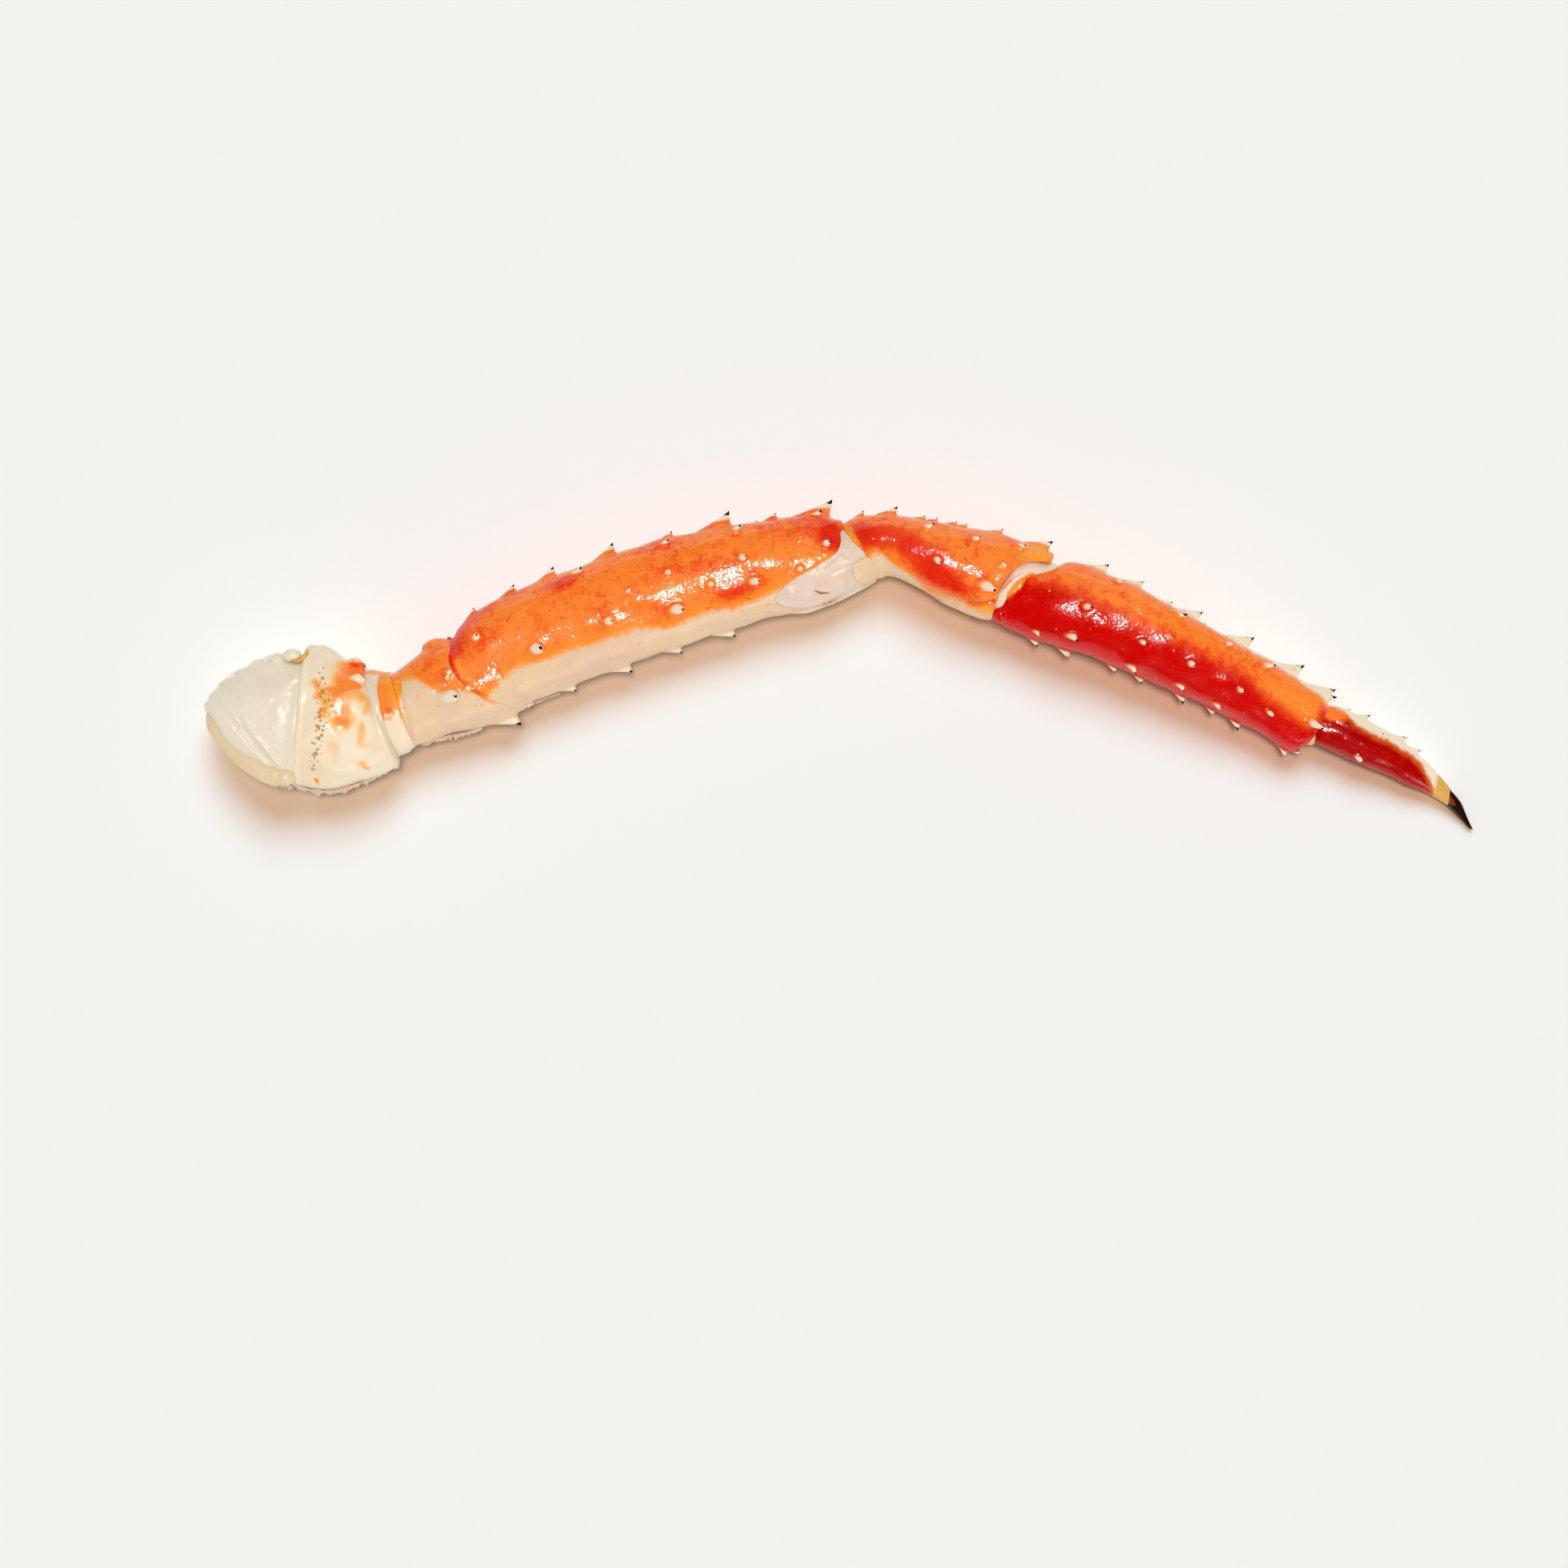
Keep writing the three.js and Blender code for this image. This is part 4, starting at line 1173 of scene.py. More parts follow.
# Cream along the extensor ridge.
CREAM_RIDGE = {
    "propodus": [(0, 1.1), (0.14, 1.0), (0.27, 1.02), (0.42, 0.98), (0.58, 0.97), (0.77, 0.92),
                 (0.92, 0.9), (1, 0.88)],
    "dactyl": [(0, 1.2), (0.09, 0.95), (0.15, 0.7), (0.2, 0.56), (0.28, 0.5), (0.38, 0.58),
               (0.42, 0.62), (0.52, 0.66), (0.59, 0.6), (0.64, 0.3), (0.69, 0.05), (0.73, -0.4),
               (0.75, -0.9), (0.77, -1.3), (1, -1.3)],
}
# Deep red patches: along, across, reach along, reach across, strength.
RED_PATCHES = {
    "ischium": [(1.0, 0.7, 0.12, 0.4, 0.6)],
    "merus": [(0.0, 0.92, 0.03, 0.25, 1.1), (0.3, 0.78, 0.05, 0.14, 0.7), (0.69, -0.36, 0.07, 0.16, 0.75),
              (0.97, 0.42, 0.038, 0.36, 1.4), (0.88, 0.7, 0.1, 0.3, 0.4), (0.55, 0.85, 0.1, 0.12, 0.4),
              (0.06, 0.5, 0.05, 0.3, 0.4), (0.1, 0.95, 0.12, 0.12, 0.45), (0.62, 0.3, 0.1, 0.2, 0.35)],
    "carpus": [(0.32, 0.05, 0.14, 0.4, 0.4), (0.45, -0.3, 0.14, 0.4, 0.75), (0.58, -0.6, 0.13, 0.28, 0.8),
               (0.07, 0.3, 0.07, 0.4, 0.9), (0.36, -0.6, 0.12, 0.25, 0.4), (0.2, 0.3, 0.14, 0.5, 0.45),
               (0.4, 0.2, 0.5, 0.9, 0.15)],
    "propodus": [(1.0, 0.2, 0.02, 0.7, 0.8)],
    "dactyl": [(0.05, -0.2, 0.5, 2.0, 1.2), (0.5, -0.3, 0.3, 2.0, 1.2), (0.05, 0.7, 0.08, 0.4, -2.0)],
}
AMBER_PATCHES = {
    "ischium": [(0.05, 0.4, 0.08, 0.5, 0.8)],
    "merus": [(0.93, 0.0, 0.1, 0.12, 0.5)],
    "carpus": [(0.0, 0.5, 0.03, 0.5, 1.1), (0.95, 0.85, 0.08, 0.35, 0.9), (0.84, -0.85, 0.06, 0.2, 1.1),
               (0.72, -0.3, 0.12, 0.12, 0.4)],
    "propodus": [(0.88, 0.25, 0.08, 0.45, 0.4), (0.97, 0.1, 0.05, 0.4, 0.35)],
    "dactyl": [(0.05, 0.7, 0.08, 0.3, 0.25)],
}
# How sharply the cream side sets off.
CREAM_SHARP = {"dactyl": 1.6, "propodus": 1.5}
# Where the propodus turns from orange above to red below.
PROPODUS_SPLIT = [
    (0, 0.35), (0.1, 0.25), (0.2, 0.16), (0.31, 0.06), (0.41, 0.08), (0.52, 0.16), (0.63, 0.16),
    (0.735, 0.17), (0.775, 0.02), (0.81, -0.12), (0.87, -0.16), (0.93, -0.18), (1, -0.14),
]
WRIST_GROOVE = [(43.5, 21.1), (45.5, 20.3), (48.8, 20.3), (52.1, 21.1)]
# Folds and dents of the upper face: plan points, height and half width.
FOLDS = {
    "ischium": [([(-152, -6), (-147, -26)], -0.35, 0.7), ([(-141, -9), (-138, -11)], 0.3, 3)],
    "merus": [
        ([(-0.3, 48.4), (-7, 46), (-14.3, 43.1)], 0.8, 1.1),
        ([(-8.5, 46.5), (-14.5, 46.5)], 0.4, 0.9),
        ([(-5.9, 42.8), (-1.1, 45)], -0.6, 2.4),
        ([(-122.6, 4.5), (-119, 8)], 0.45, 3.2),
        ([(-99, 12), (-88, 13.5)], 0.35, 2.5),
        ([(-74, 20), (-66, 21.5)], 0.35, 2.5),
    ],
    "carpus": [
        ([(6.5, 44), (10.5, 42)], 1.2, 2.6),
        ([(0.8, 46.5), (3.9, 41.4), (9, 39.4)], 0.5, 0.9),
        ([(13, 38), (16, 33)], -0.5, 1.6),
        (WRIST_GROOVE, -0.9, 0.7),
    ],
    "propodus": [
        ([(101, 19.5), (103, 17)], 0.35, 0.6), ([(112, 10), (116, 5.5)], 0.35, 0.8),
        ([(139.5, 5), (142, 1.5)], 0.4, 1.0), ([(147, -5), (151, -9)], 0.35, 2.5),
    ],
    "dactyl": [
        ([(171, -20.5), (181, -25.5), (191, -30), (201, -37)], -0.45, 1.1),
        ([(174, -26.5), (186, -31.5), (195, -37)], 0.3, 1.2),
    ],
}

# Plan line of the merus's first rim, which lies over the ischium in an arc.
FIRST_RIM = [
    (-135.4, 9.4), (-134.2, 5), (-133.8, 0.8), (-132.4, -2.6), (-130, -5.8), (-126.6, -8.7),
    (-121.8, -11.2), (-116, -13.2), (-109, -15.2),
]
RIM_REACH = [(-100, -12), (-104, 0), (-114, 16), (-128, 16)]
RIM_FLOOR = 9.0
# Plan line of the thick rim round the wrist's window.
WRIST_RIM = [
    (71, 36.4), (66, 36.6), (60.6, 35.2), (56.8, 32.5), (54.1, 28.8), (52.8, 24.8), (52.4, 21.8),
]
# Plan line of the propodus's granular first rim.
HEAD_RIM = [(68.9, 33.4), (62.5, 30.4), (59.9, 26.2), (55.2, 22.9)]
# Painted lines: plan points, strength and half width.
RED_LINES = {
    "merus": [(FIRST_RIM, 0.6, 0.8)], "carpus": [(WRIST_GROOVE, 0.8, 0.7)],
    "propodus": [([(54.2, 18.4), (55.4, 16.2)], 1.2, 2.4)],
}
AMBER_LINES = {
    "merus": [([(-131.5, 0.5), (-129, -4.5), (-124.5, -7.8), (-119, -9.8)], 0.55, 1.7)],
    "propodus": [(HEAD_RIM, 1.0, 1.7)],
}

# The shares of the claw's length where it turns tan and black, and how softly.
CLAW_TAN_FROM, CLAW_BLACK_FROM, CLAW_SOFT = 0.72, 0.815, 0.015
CLAW_SLANT = 0.02  # how much sooner on the extensor side
CLAW_DARK, CORE_FADE = 1.2, 0.5  # how dark its end is painted, and how much less over its core
CLAW_CORE = [(0.8, -0.35, 0.05, 0.5, 1.0)]
# Beads along the rims of the merus and the wrist's window: radius, and how far they are sunk.
FIRST_BEAD, WRIST_BEAD = (0.85, 0.4), (1.25, 0.8)
COLLAR_GROW = 0.15  # how far the merus's collar stands over the ischium's line
SHELL_UPPER = (0.15, 0.08)  # how far up a shell its upper face starts, and how softly
SHELL_SWELLINGS = [(1.0, 9, 1), (0.1, 4, 2)]
SPINE_FADE = 4  # the swellings fade out over this part of a spine: 4 is its lowest quarter
SPLIT_STRENGTH, SPLIT_SOFT = 1.2, 0.18  # of the red below the propodus's split


def rim_block(spread=0.0):
    """The upright block under which the merus lies over the ischium."""
    outline = [*smooth_path(FIRST_RIM, RIM_BLOCK_STEPS).tolist(), *RIM_REACH]
    return prism(spread_outline(outline, spread) if spread else outline, RIM_FLOOR - spread)


def rim_bead(name, outline, bead, sides):
    """A bead laid on a shell along a plan line."""
    radius, sink = bead
    line = smooth_path(outline, RIM_STEPS)
    return tube(draped(name, line, -sink), np.full(RIM_STEPS, radius), sides)


def shell_solid(name):
    """The bare shell, cut clear of its neighbours, and the beads along its rims."""
    if name == "ischium":
        body = changed(loft(name), "UNION", ellipsoid(*ISCHIUM_HUMP))
        return [cut(body, room_for("merus"), rim_block(-SEAM), table_block())]
    if name == "merus":
        body = cut(loft(name), prism(round_outline(KNEE_WINDOW), WINDOW_FLOOR), table_block())
        collar = changed(loft("collar", COLLAR_GROW), "INTERSECT", rim_block())
        return [body, collar, cut(rim_bead("collar", FIRST_RIM, FIRST_BEAD, 10), table_block())]
    if name == "carpus":
        window = prism(round_outline(WRIST_WINDOW), WINDOW_FLOOR)
        neighbours = [room_for(other) for other in ("head", "propodus", "merus")]
        body = cut(loft(name), window, *neighbours, table_block())
        return [body, rim_bead(name, WRIST_RIM, WRIST_BEAD, 12)]
    if name == "propodus":
        body = cut(loft(name), room_for("dactyl"), room_for("claw_skin"), table_block())
        head, rim = (cut(solid, table_block()) for solid in (loft("head"), *lips_on("head")))
        return [body, head, rim, ellipsoid(*WRIST_KNOB)]
    return [cut(loft(name), table_block())]


def spined_shell(name, slot, colours, sizes):
    """Models a spined shell and paints its zones."""
    spines = spines_on(name)
    mesh = fused([*shell_solid(name), *(one.mesh() for one in spines)], VOXEL_SHARE.get(name, 1))
    points, normals = points_of(mesh), vertex_rows(mesh, "normal")
    along, across, up = shell_marks(name, points)
    edge, softness = SHELL_UPPER
    upper = blended(edge, up, softness)
    marks = spine_marks(points, spines)
    bare = 1 - np.clip(marks["rise"] * SPINE_FADE, 0, 1)
    swelling = swollen(points, SHELL_SWELLINGS)
    raised = sizes.relief / MM * swelling + stroked(points, FOLDS[name], upper)
    points += normals * (bare * raised)[:, None]
    for one in spines:
        one.sharpen(points)
    half_width = np.interp(along, np.linspace(0, 1, WIDTH_STEPS), widths_along(name, WIDTH_STEPS))
    cream = (curve(CREAM_EDGE[name], along) - across) * half_width
    if name in CREAM_RIDGE:
        cream = np.maximum(cream, (across - curve(CREAM_RIDGE[name], along)) * half_width)
    deep = blobs(along, across, RED_PATCHES[name])
    if name == "propodus":
        below = curve(PROPODUS_SPLIT, along) - across
        deep = np.maximum(deep, SPLIT_STRENGTH * blended(0, below, SPLIT_SOFT))
    amber = blobs(along, across, AMBER_PATCHES[name])
    deep += stroked(points, RED_LINES.get(name, []), upper)
    amber += stroked(points, AMBER_LINES.get(name, []), upper)
    cream *= CREAM_SHARP.get(name, 1)
    marks.update(cream=cream, deep=deep, amber=amber)
    if name == "dactyl":
        slanted = along + CLAW_SLANT * across
        claw = np.clip((slanted - CLAW_BLACK_FROM) / CLAW_SOFT, 0, 1)
        core = blobs(along, across, CLAW_CORE)
        marks["rise"] = np.maximum(marks["rise"], claw * (CLAW_DARK - CORE_FADE * core))
        marks["horn"] = blended(CLAW_TAN_FROM, slanted, CLAW_SOFT)
    red = {"propodus": colours.red, "dactyl": colours.crimson}.get(name, colours.scarlet)
    border, pale_tones = colours.amber, (colours.cream, colours.pink)
    if slot == "shell_deep":
        border, pale_tones = colours.orange, (colours.ivory, colours.ivory)
    finish = shell_finish(name + " shell", colours, red, border, pale_tones)
    return dress(name + "_shell", mesh, points, marks, finish, name)


def spine_tips(colours):
    """The dark horn tips of all the spines."""
    mesh = gathered([one.tip() for name in SPINES for one in spines_on(name) if one.has_tip])
    finish = horn_finish("spine tips", colours)
    return dress("spine_tips", mesh, points_of(mesh), {}, finish, None)


CLAW_START = 4.2  # the place along the claw's ribs where the horn starts
CLAW_RINGS = 60
CLAW_GROW = 0.12  # how far the horn stands over the shell
CLAW_SINK = 1.0  # how far its start is sunk into the shell
CLAW_RISE = 0.4  # the share of its length over which it comes out of the shell
CLAW_DRAW = 2.6  # how much further the tip reaches than the shell's ribs
CLAW_POINT = 1.2  # the length of its last point
# How far its start is moved towards the tip, and how much less on the extensor side.
HORN_SHIFT, HORN_SLANT = 2.4, 0.4
HORN_ROOT = 2.0  # how far its hidden end lies inside it
HORN_CORE = [(0.83, -0.15, 0.06, 0.5, 1.1)]


def claw_horn(colours):
    """The black end of the claw, with a brown core that shows on its upper face."""
    share = np.linspace(0, 1, CLAW_RINGS)
    emerging = np.clip(share / CLAW_RISE, 0, 1)
    places = np.linspace(CLAW_START, last_rib("dactyl"), CLAW_RINGS)
    cuts = Sections("dactyl", places, CLAW_GROW * emerging - CLAW_SINK * (1 - emerging))
    angles = np.arange(SIDES) * 360 / SIDES
    slant = HORN_SHIFT - HORN_SLANT * np.cos(np.radians(angles))
    rings = cuts.points(angles)
    rings += (slant * (1 - share)[:, None])[..., None] * cuts.axis[:, None]
    drawn = CLAW_DRAW * (share**3)[:, None] * cuts.axis[-1:]
    rings += drawn[:, None]
    start = cuts.centre[:1] + HORN_ROOT * cuts.axis[:1]
    end = cuts.centre[-1:] + drawn[-1:] + CLAW_POINT * cuts.axis[-1:]
    mesh = closed_skin(rings, (start, end))
    points = points_of(mesh)
    along, across, up = shell_marks("dactyl", points)
    marks = {"core": blobs(along, across, HORN_CORE) * blended(0, up, 0.15)}
    finish = horn_finish("claw horn", colours)
    return dress("claw_horn", mesh, points, marks, finish, None)


# ------------ the shells at the shoulder

# Orange patches on the coxa: plan points, strength and half width.
COXA_ORANGE = [
    ([(-170.2, -2.2), (-171, -6.4)], 0.75, 3.1), ([(-165.6, -1.6), (-166.4, -6.4)], 1.0, 2.9),
    ([(-179.4, -7.2), (-177.8, -9.4), (-173.9, -9.9), (-169.4, -8.8), (-165.2, -8)], 0.75, 1.6),
    ([(-179.2, -11.2), (-176.8, -12.7), (-175.2, -14.8), (-176.9, -17.4)], 0.4, 1.4),
    ([(-164.6, -11.2), (-162.2, -13.4), (-161.7, -16.8)], 0.5, 1.5),
    ([(-170.6, -14.4), (-170.2, -20)], 0.85, 3.8), ([(-163.6, -21.4), (-163.5, -27.8)], 0.4, 1.3),
    ([(-180.2, -39.9), (-179.2, -40.7)], 0.8, 0.9), ([(-164.2, -34.7), (-162.3, -35.8)], 0.5, 1.1),
    ([(-174, -29), (-173, -32)], 0.25, 2.6), ([(-166.2, -5.5), (-163.6, -5.5)], -1.7, 1.5),
]
COXA_RED = [
    ([(-168, -0.4), (-164, -0.4), (-162.8, -3.6)], 0.95, 1.1), ([(-172.4, -1.8), (-173.4, -7)], 0.3, 0.8),
    ([(-176, -9.9), (-179, -8)], 0.35, 0.7), ([(-180, -39.9), (-179.4, -40.4)], 0.6, 0.6),
    ([(-166.2, -5.5), (-163.6, -5.5)], -1.2, 1.5),
]
# Where the golden pits lie.
PITTED = [
    ([(-177.6, -2.5), (-177.2, -9)], 1.0, 1.7), ([(-177, -10), (-177, -21)], 1.1, 2.0),
    ([(-177.5, -22), (-180, -35)], 0.9, 2.5), ([(-173.5, -11), (-174, -15)], 0.6, 1.2),
]
# The rough crest at the coxa's extensor corner.
COXA_CREST = [
    ((-167.2, 0.6, 21.5), (2.4, 1.5, 2.8)), ((-165, -1.0, 22.5), (2.0, 1.4, 2.6)),
    ((-166, 1.0, 24.5), (1.3, 0.9, 1.3)), ((-164.2, -2.6, 24), (1.2, 1.0, 1.4)),
]
COXA_FOLDS = [
    ([(-174, -30), (-164, -33)], -0.8, 2.6), ([(-171, -22), (-162, -25)], -0.5, 2.6),
    ([(-181, -12), (-177, -11)], -0.4, 2.0), ([(-171, -11), (-165, -12.5)], 0.6, 2.4),
    ([(-178, -34), (-170, -37)], 0.5, 2.0),
]

# Patches on the basis: along, across, reach along, reach across, strength.
BASIS_RED = [(0.2, 1.0, 0.4, 0.12, 0.9), (0.5, 0.05, 0.4, 0.15, 0.6)]
BASIS_SEAM = [(0.97, 0, 0.12, 1.2, 0.6)]
HIP_CREASE = [([(-163, -3), (-158, -3)], 0.9, 1.2)]
DRIFT, DRIFT_SIZE = 1.5, 4.5  # how far points drift, and over what size


def drifted(points):
    """The points moved about in plan, which frays what is painted by them."""
    moved = points.copy()
    for axis in (0, 1):
        moved[:, axis] += DRIFT * clouds(points, DRIFT_SIZE, 21 + axis)
    return moved


def coxa_piece(colours):
    """The first shell, with its two rims, the knob of its hinge and its pits."""
    body = cut(loft("coxa"), room_for("basis"), room_for("hip"), table_block())
    crest = [ellipsoid(*lump) for lump in COXA_CREST]
    return skinned(
        "coxa_shell", [body, ellipsoid(*HINGE_KNOB), *lips_on("coxa"), *crest], "coxa", "bone",
        bone_finish("coxa shell", colours, colours.ivory), [(0.35, 9, 3), (0.12, 3, 4)],
        painted_above(COXA_FOLDS, *COXA_UPPER),
        orange=painted_above(COXA_ORANGE, *COXA_UPPER, drifted),
        deep=painted_above(COXA_RED, *COXA_UPPER, drifted),
        pitted=painted_above(PITTED, *COXA_UPPER),
    )


def basis_piece(colours):
    """The narrow ring shell, orange above, with a raised seam at its claw end."""
    body = cut(loft("basis", 0.5), room_for("ischium"), table_block())
    seams = [cut(one, table_block()) for one in lips_on("basis")]

    def orange(points):
        _, across, _ = shell_marks("basis", points)
        return 1.5 * blended(-0.05, across + 0.3 * clouds(points, 2.2, 22), 0.06)

    def deep(points):
        along, across, _ = shell_marks("basis", points)
        return blobs(along, across, BASIS_RED)

    def amber(points):
        along, across, _ = shell_marks("basis", points)
        return 0.5 * blended(0.1, across, 0.15) + blobs(along, across, BASIS_SEAM)

    return skinned(
        "basis_shell", [body, *seams], "basis", "bone",
        bone_finish("basis shell", colours, colours.ivory), [(0.2, 6, 5)],
        orange=orange, deep=deep, amber=amber,
    )


def hip_fold(colours):
    """The soft fold between coxa and basis."""
    body = cut(loft("hip"), room_for("basis"), room_for("ischium"), table_block())
    return skinned(
        "hip_fold", [body, *lips_on("hip")], "hip_membrane", "membrane",
        skin_finish("hip skin", colours, colours.skin, colours.flesh), [(0.25, 4, 6)],
        orange=lambda points: stroked(points, HIP_CREASE),
    )


# ------------ the torn end

# Lumps of flesh along the upper left edge: where they lie and their radii.
FLESH_LUMPS = [
    ((-216, -12, 16), (2.0, 2.4, 4)), ((-211, -7.2, 16), (2.8, 2.2, 5)),
    ((-205.5, -3.6, 17), (3.2, 2.0, 6)), ((-199.5, -1.4, 17), (3.2, 2.0, 6)),
    ((-193.5, 0.8, 18), (3.2, 2.0, 6)),
]
FLESH_FOLDS = [
    ([(-212, -12), (-208.5, -16.5), (-205.2, -21)], 0.7, 0.55),
    ([(-213.5, -13.5), (-210, -18.5), (-206.4, -22.5)], -0.4, 0.8),
    ([(-204.4, -18.8), (-198, -27), (-192.4, -34.4)], 0.9, 0.6),
    ([(-206, -20.5), (-199.6, -28.6), (-194, -35.6)], -0.5, 0.9),
    ([(-208.5, -21.5), (-203, -28.5), (-197, -34)], 0.5, 0.5),
    ([(-201, -8), (-195, -12), (-190, -20)], 0.5, 3.5),
    ([(-209, -7.5), (-205, -9), (-203, -13)], 0.25, 0.7),
    ([(-205.5, -5.5), (-201, -8), (-199, -13)], 0.25, 0.8),
    ([(-189.5, -4.5), (-187.5, -6.5), (-186, -5.5)], 0.5, 0.7),
    ([(-187, -9), (-189, -20), (-190, -30)], -0.6, 2.2),
]
# The yellowish crease beside the gristle.
FLESH_CREASE = [([(-188.5, -4.5), (-186.5, -7)], 0.4, 1.0)]
# The sharp outer edge of the shell bar.
BAR_EDGE = [([(-217, -13.5), (-211.5, -23), (-204.5, -29), (-197, -34.4)], 0.35, 0.9)]
# The golden crescent of the gristle.
CRESCENT = [(-182.9, 4.9, 25), (-183.2, 2.8, 26), (-185, 1.0, 26.4), (-187.6, 0.4, 26.2)]
CRESCENT_RADIUS = 0.9
BAR_RADIUS, BAR_FLAT = 3.4, 0.72  # and how flat its section is
BAR_SPREAD = 0.5  # how much thicker it is at the coxa
BAR_WAVE = 0.3  # how uneven its edge is


def shoulder_bar(grow=0.0):
    """The bent shell bar along the shoulder, flat and tapered at its free end."""
    path = smooth_path(BAR_PATH, 40)
    share = np.linspace(0, 1, len(path))
    radii = BAR_RADIUS + BAR_SPREAD * share**2 + BAR_WAVE * np.sin(share * 9) * (1 - share)
    rounded = np.sqrt(np.clip(1 - ((share - 0.5) * 2.02) ** 12, 0.05, 1))
    tapered = np.clip(0.55 + 2.4 * share, 0, 1)
    return tube(path, radii * (rounded * tapered) + grow, 24, flat=BAR_FLAT)


def shoulder_flesh(colours):
    """White flesh under thin skin, with a lumpy torn edge and long folds beside the shell bar."""
    whole = changed(loft("shoulder"), "UNION", *(ellipsoid(*lump) for lump in FLESH_LUMPS))
    body = cut(whole, shoulder_bar(-DEEP_SEAM), room_for("coxa", DEEP_SEAM), table_block())
    return skinned(
        "shoulder_flesh", [body], "shoulder", "flesh",
        skin_finish("shoulder flesh", colours, colours.flesh, colours.skin),
        [(0.45, 10, 8), (0.22, 3.5, 9), (0.1, 1.5, 23)], painted_above(FLESH_FOLDS, *FLESH_UPPER),
        orange=painted_above(FLESH_CREASE, *FLESH_UPPER),
    )


def bar_piece(colours):
    """The cream shell edge beside the flesh, with its yellowish knob."""
    solids = [cut(one, room_for("coxa")) for one in (shoulder_bar(), ellipsoid(*BAR_KNOB))]
    return skinned(
        "bar_shell", solids, "shoulder_bar", "bone",
        skin_finish("bar shell", colours, colours.bar, colours.ivory), [(0.2, 7, 11), (0.08, 2, 12)],
        lambda points: stroked(points, BAR_EDGE),
        orange=lambda points: 0.45 * np.exp(-((distance(points, BAR_KNOB[:1]) / 4) ** 2)),
    )


def pad_piece(colours):
    """The gristle pad with its golden crescent against the coxa's rim."""
    crescent = smooth_path(CRESCENT, 24)
    edge = tube(crescent, CRESCENT_RADIUS * np.sin(np.linspace(0.5, 2.9, len(crescent))), 12)
    return skinned(
        "gristle_pad", [ellipsoid(*GRISTLE), edge], "socket_pad", "socket",
        gristle_finish("gristle", colours), [(0.15, 2.5, 13)], fineness=0.6,
        orange=lambda points: 1 - blended(1.2, distance(points, crescent), 0.12),
    )


# ------------ joint skins

# Folds of the knee's skin: plan points, height and half width.
KNEE_FOLDS = [
    ([(-16.5, 23.5), (-16.5, 23.6)], 1.3, 1.8), ([(-9, 24.5), (-3, 25.5)], 0.4, 0.8),
    ([(-8, 30.5), (4, 35.5)], 0.5, 1.4), ([(-3, 29.5), (4, 33)], 0.5, 0.7),
    ([(-4.5, 32), (0, 36.5)], 0.45, 0.8), ([(2.5, 33), (2.6, 27.5)], -0.5, 0.9),
    ([(-20, 21.5), (-12, 21), (-4, 22.5)], -0.3, 1.0),
]
# The edge of the knee's skin on the flexor side.
KNEE_KEEL = [(-19, 18.3, 13), (-11.5, 18.3, 13), (-1.4, 22, 13), (6.7, 26, 13), (12.5, 29.6, 13)]
WRIST_FOLDS = [
    ([(56, 25), (58.5, 28), (62, 30)], 0.8, 0.7), ([(57.5, 24), (60.5, 27.5), (64, 29.5)], -0.5, 0.7),
]
WRIST_CREASE = [([(56, 25.6), (58.5, 28.6)], 0.9, 0.6)]


def through_window(name, grow, window, shell):
    """The part of a joint's skin that shows in a shell's window and beyond the shell."""
    block = prism(spread_outline(round_outline(window), SEAM), WINDOW_FLOOR - SEAM)
    inside = changed(loft(name, grow), "INTERSECT", block)
    return changed(inside, "UNION", cut(loft(name, grow), room_for(shell)))


def knee_piece(colours):
    """The skin in the merus's end window."""
    skin = through_window("knee", -SKIN_INSET, KNEE_WINDOW, "merus")
    plate = prism(spread_outline(KNEE_PLATE, -SEAM), WINDOW_FLOOR)
    keel = smooth_path(KNEE_KEEL, 30)
    return skinned(
        "knee_skin",
        [cut(skin, room_for("carpus"), plate, table_block()), tube(keel, np.full(len(keel), 0.7), 10)],
        "knee_membrane", "membrane", skin_finish("knee skin", colours, colours.skin, colours.pink, 0.45),
        [(0.25, 5, 14), (0.12, 1.8, 15)], painted_above(KNEE_FOLDS, *SKIN_UPPER),
    )


def plate_piece(colours):
    """The small plate that lies in the knee's skin."""
    whole = changed(loft("knee"), "INTERSECT", prism(KNEE_PLATE, WINDOW_FLOOR))
    return skinned(
        "plate_shell", [cut(whole, room_for("carpus"))], "knee_plate", "bone",
        bone_finish("plate shell", colours, colours.cream), [(0.15, 3, 16)],
        amber=lambda points: 0.4 * np.exp(-((edge_distance(points, KNEE_PLATE) / 0.35) ** 2)),
    )


def wrist_piece(colours):
    """The skin disc between carpus and propodus, with a fold across it."""
    skin = through_window("wrist", 0.0, WRIST_WINDOW, "carpus")
    return skinned(
        "wrist_skin", [cut(skin, room_for("propodus"), room_for("head"), table_block())],
        "wrist_membrane", "membrane", skin_finish("wrist skin", colours, colours.flesh, colours.skin),
        [(0.2, 3.5, 17)], painted_above(WRIST_FOLDS, *SKIN_UPPER),
        orange=painted_above(WRIST_CREASE, *SKIN_UPPER),
    )


def claw_skin_piece(colours):
    """The small fold of skin at the claw's base."""
    return skinned(
        "claw_skin", [cut(loft("claw_skin"), room_for("dactyl"), table_block())],
        "claw_membrane", "membrane", skin_finish("claw skin", colours, colours.skin, colours.pink),
        [(0.15, 2, 18)],
        orange=lambda points: np.full(len(points), 0.6),
    )


# ------------ film and bristles

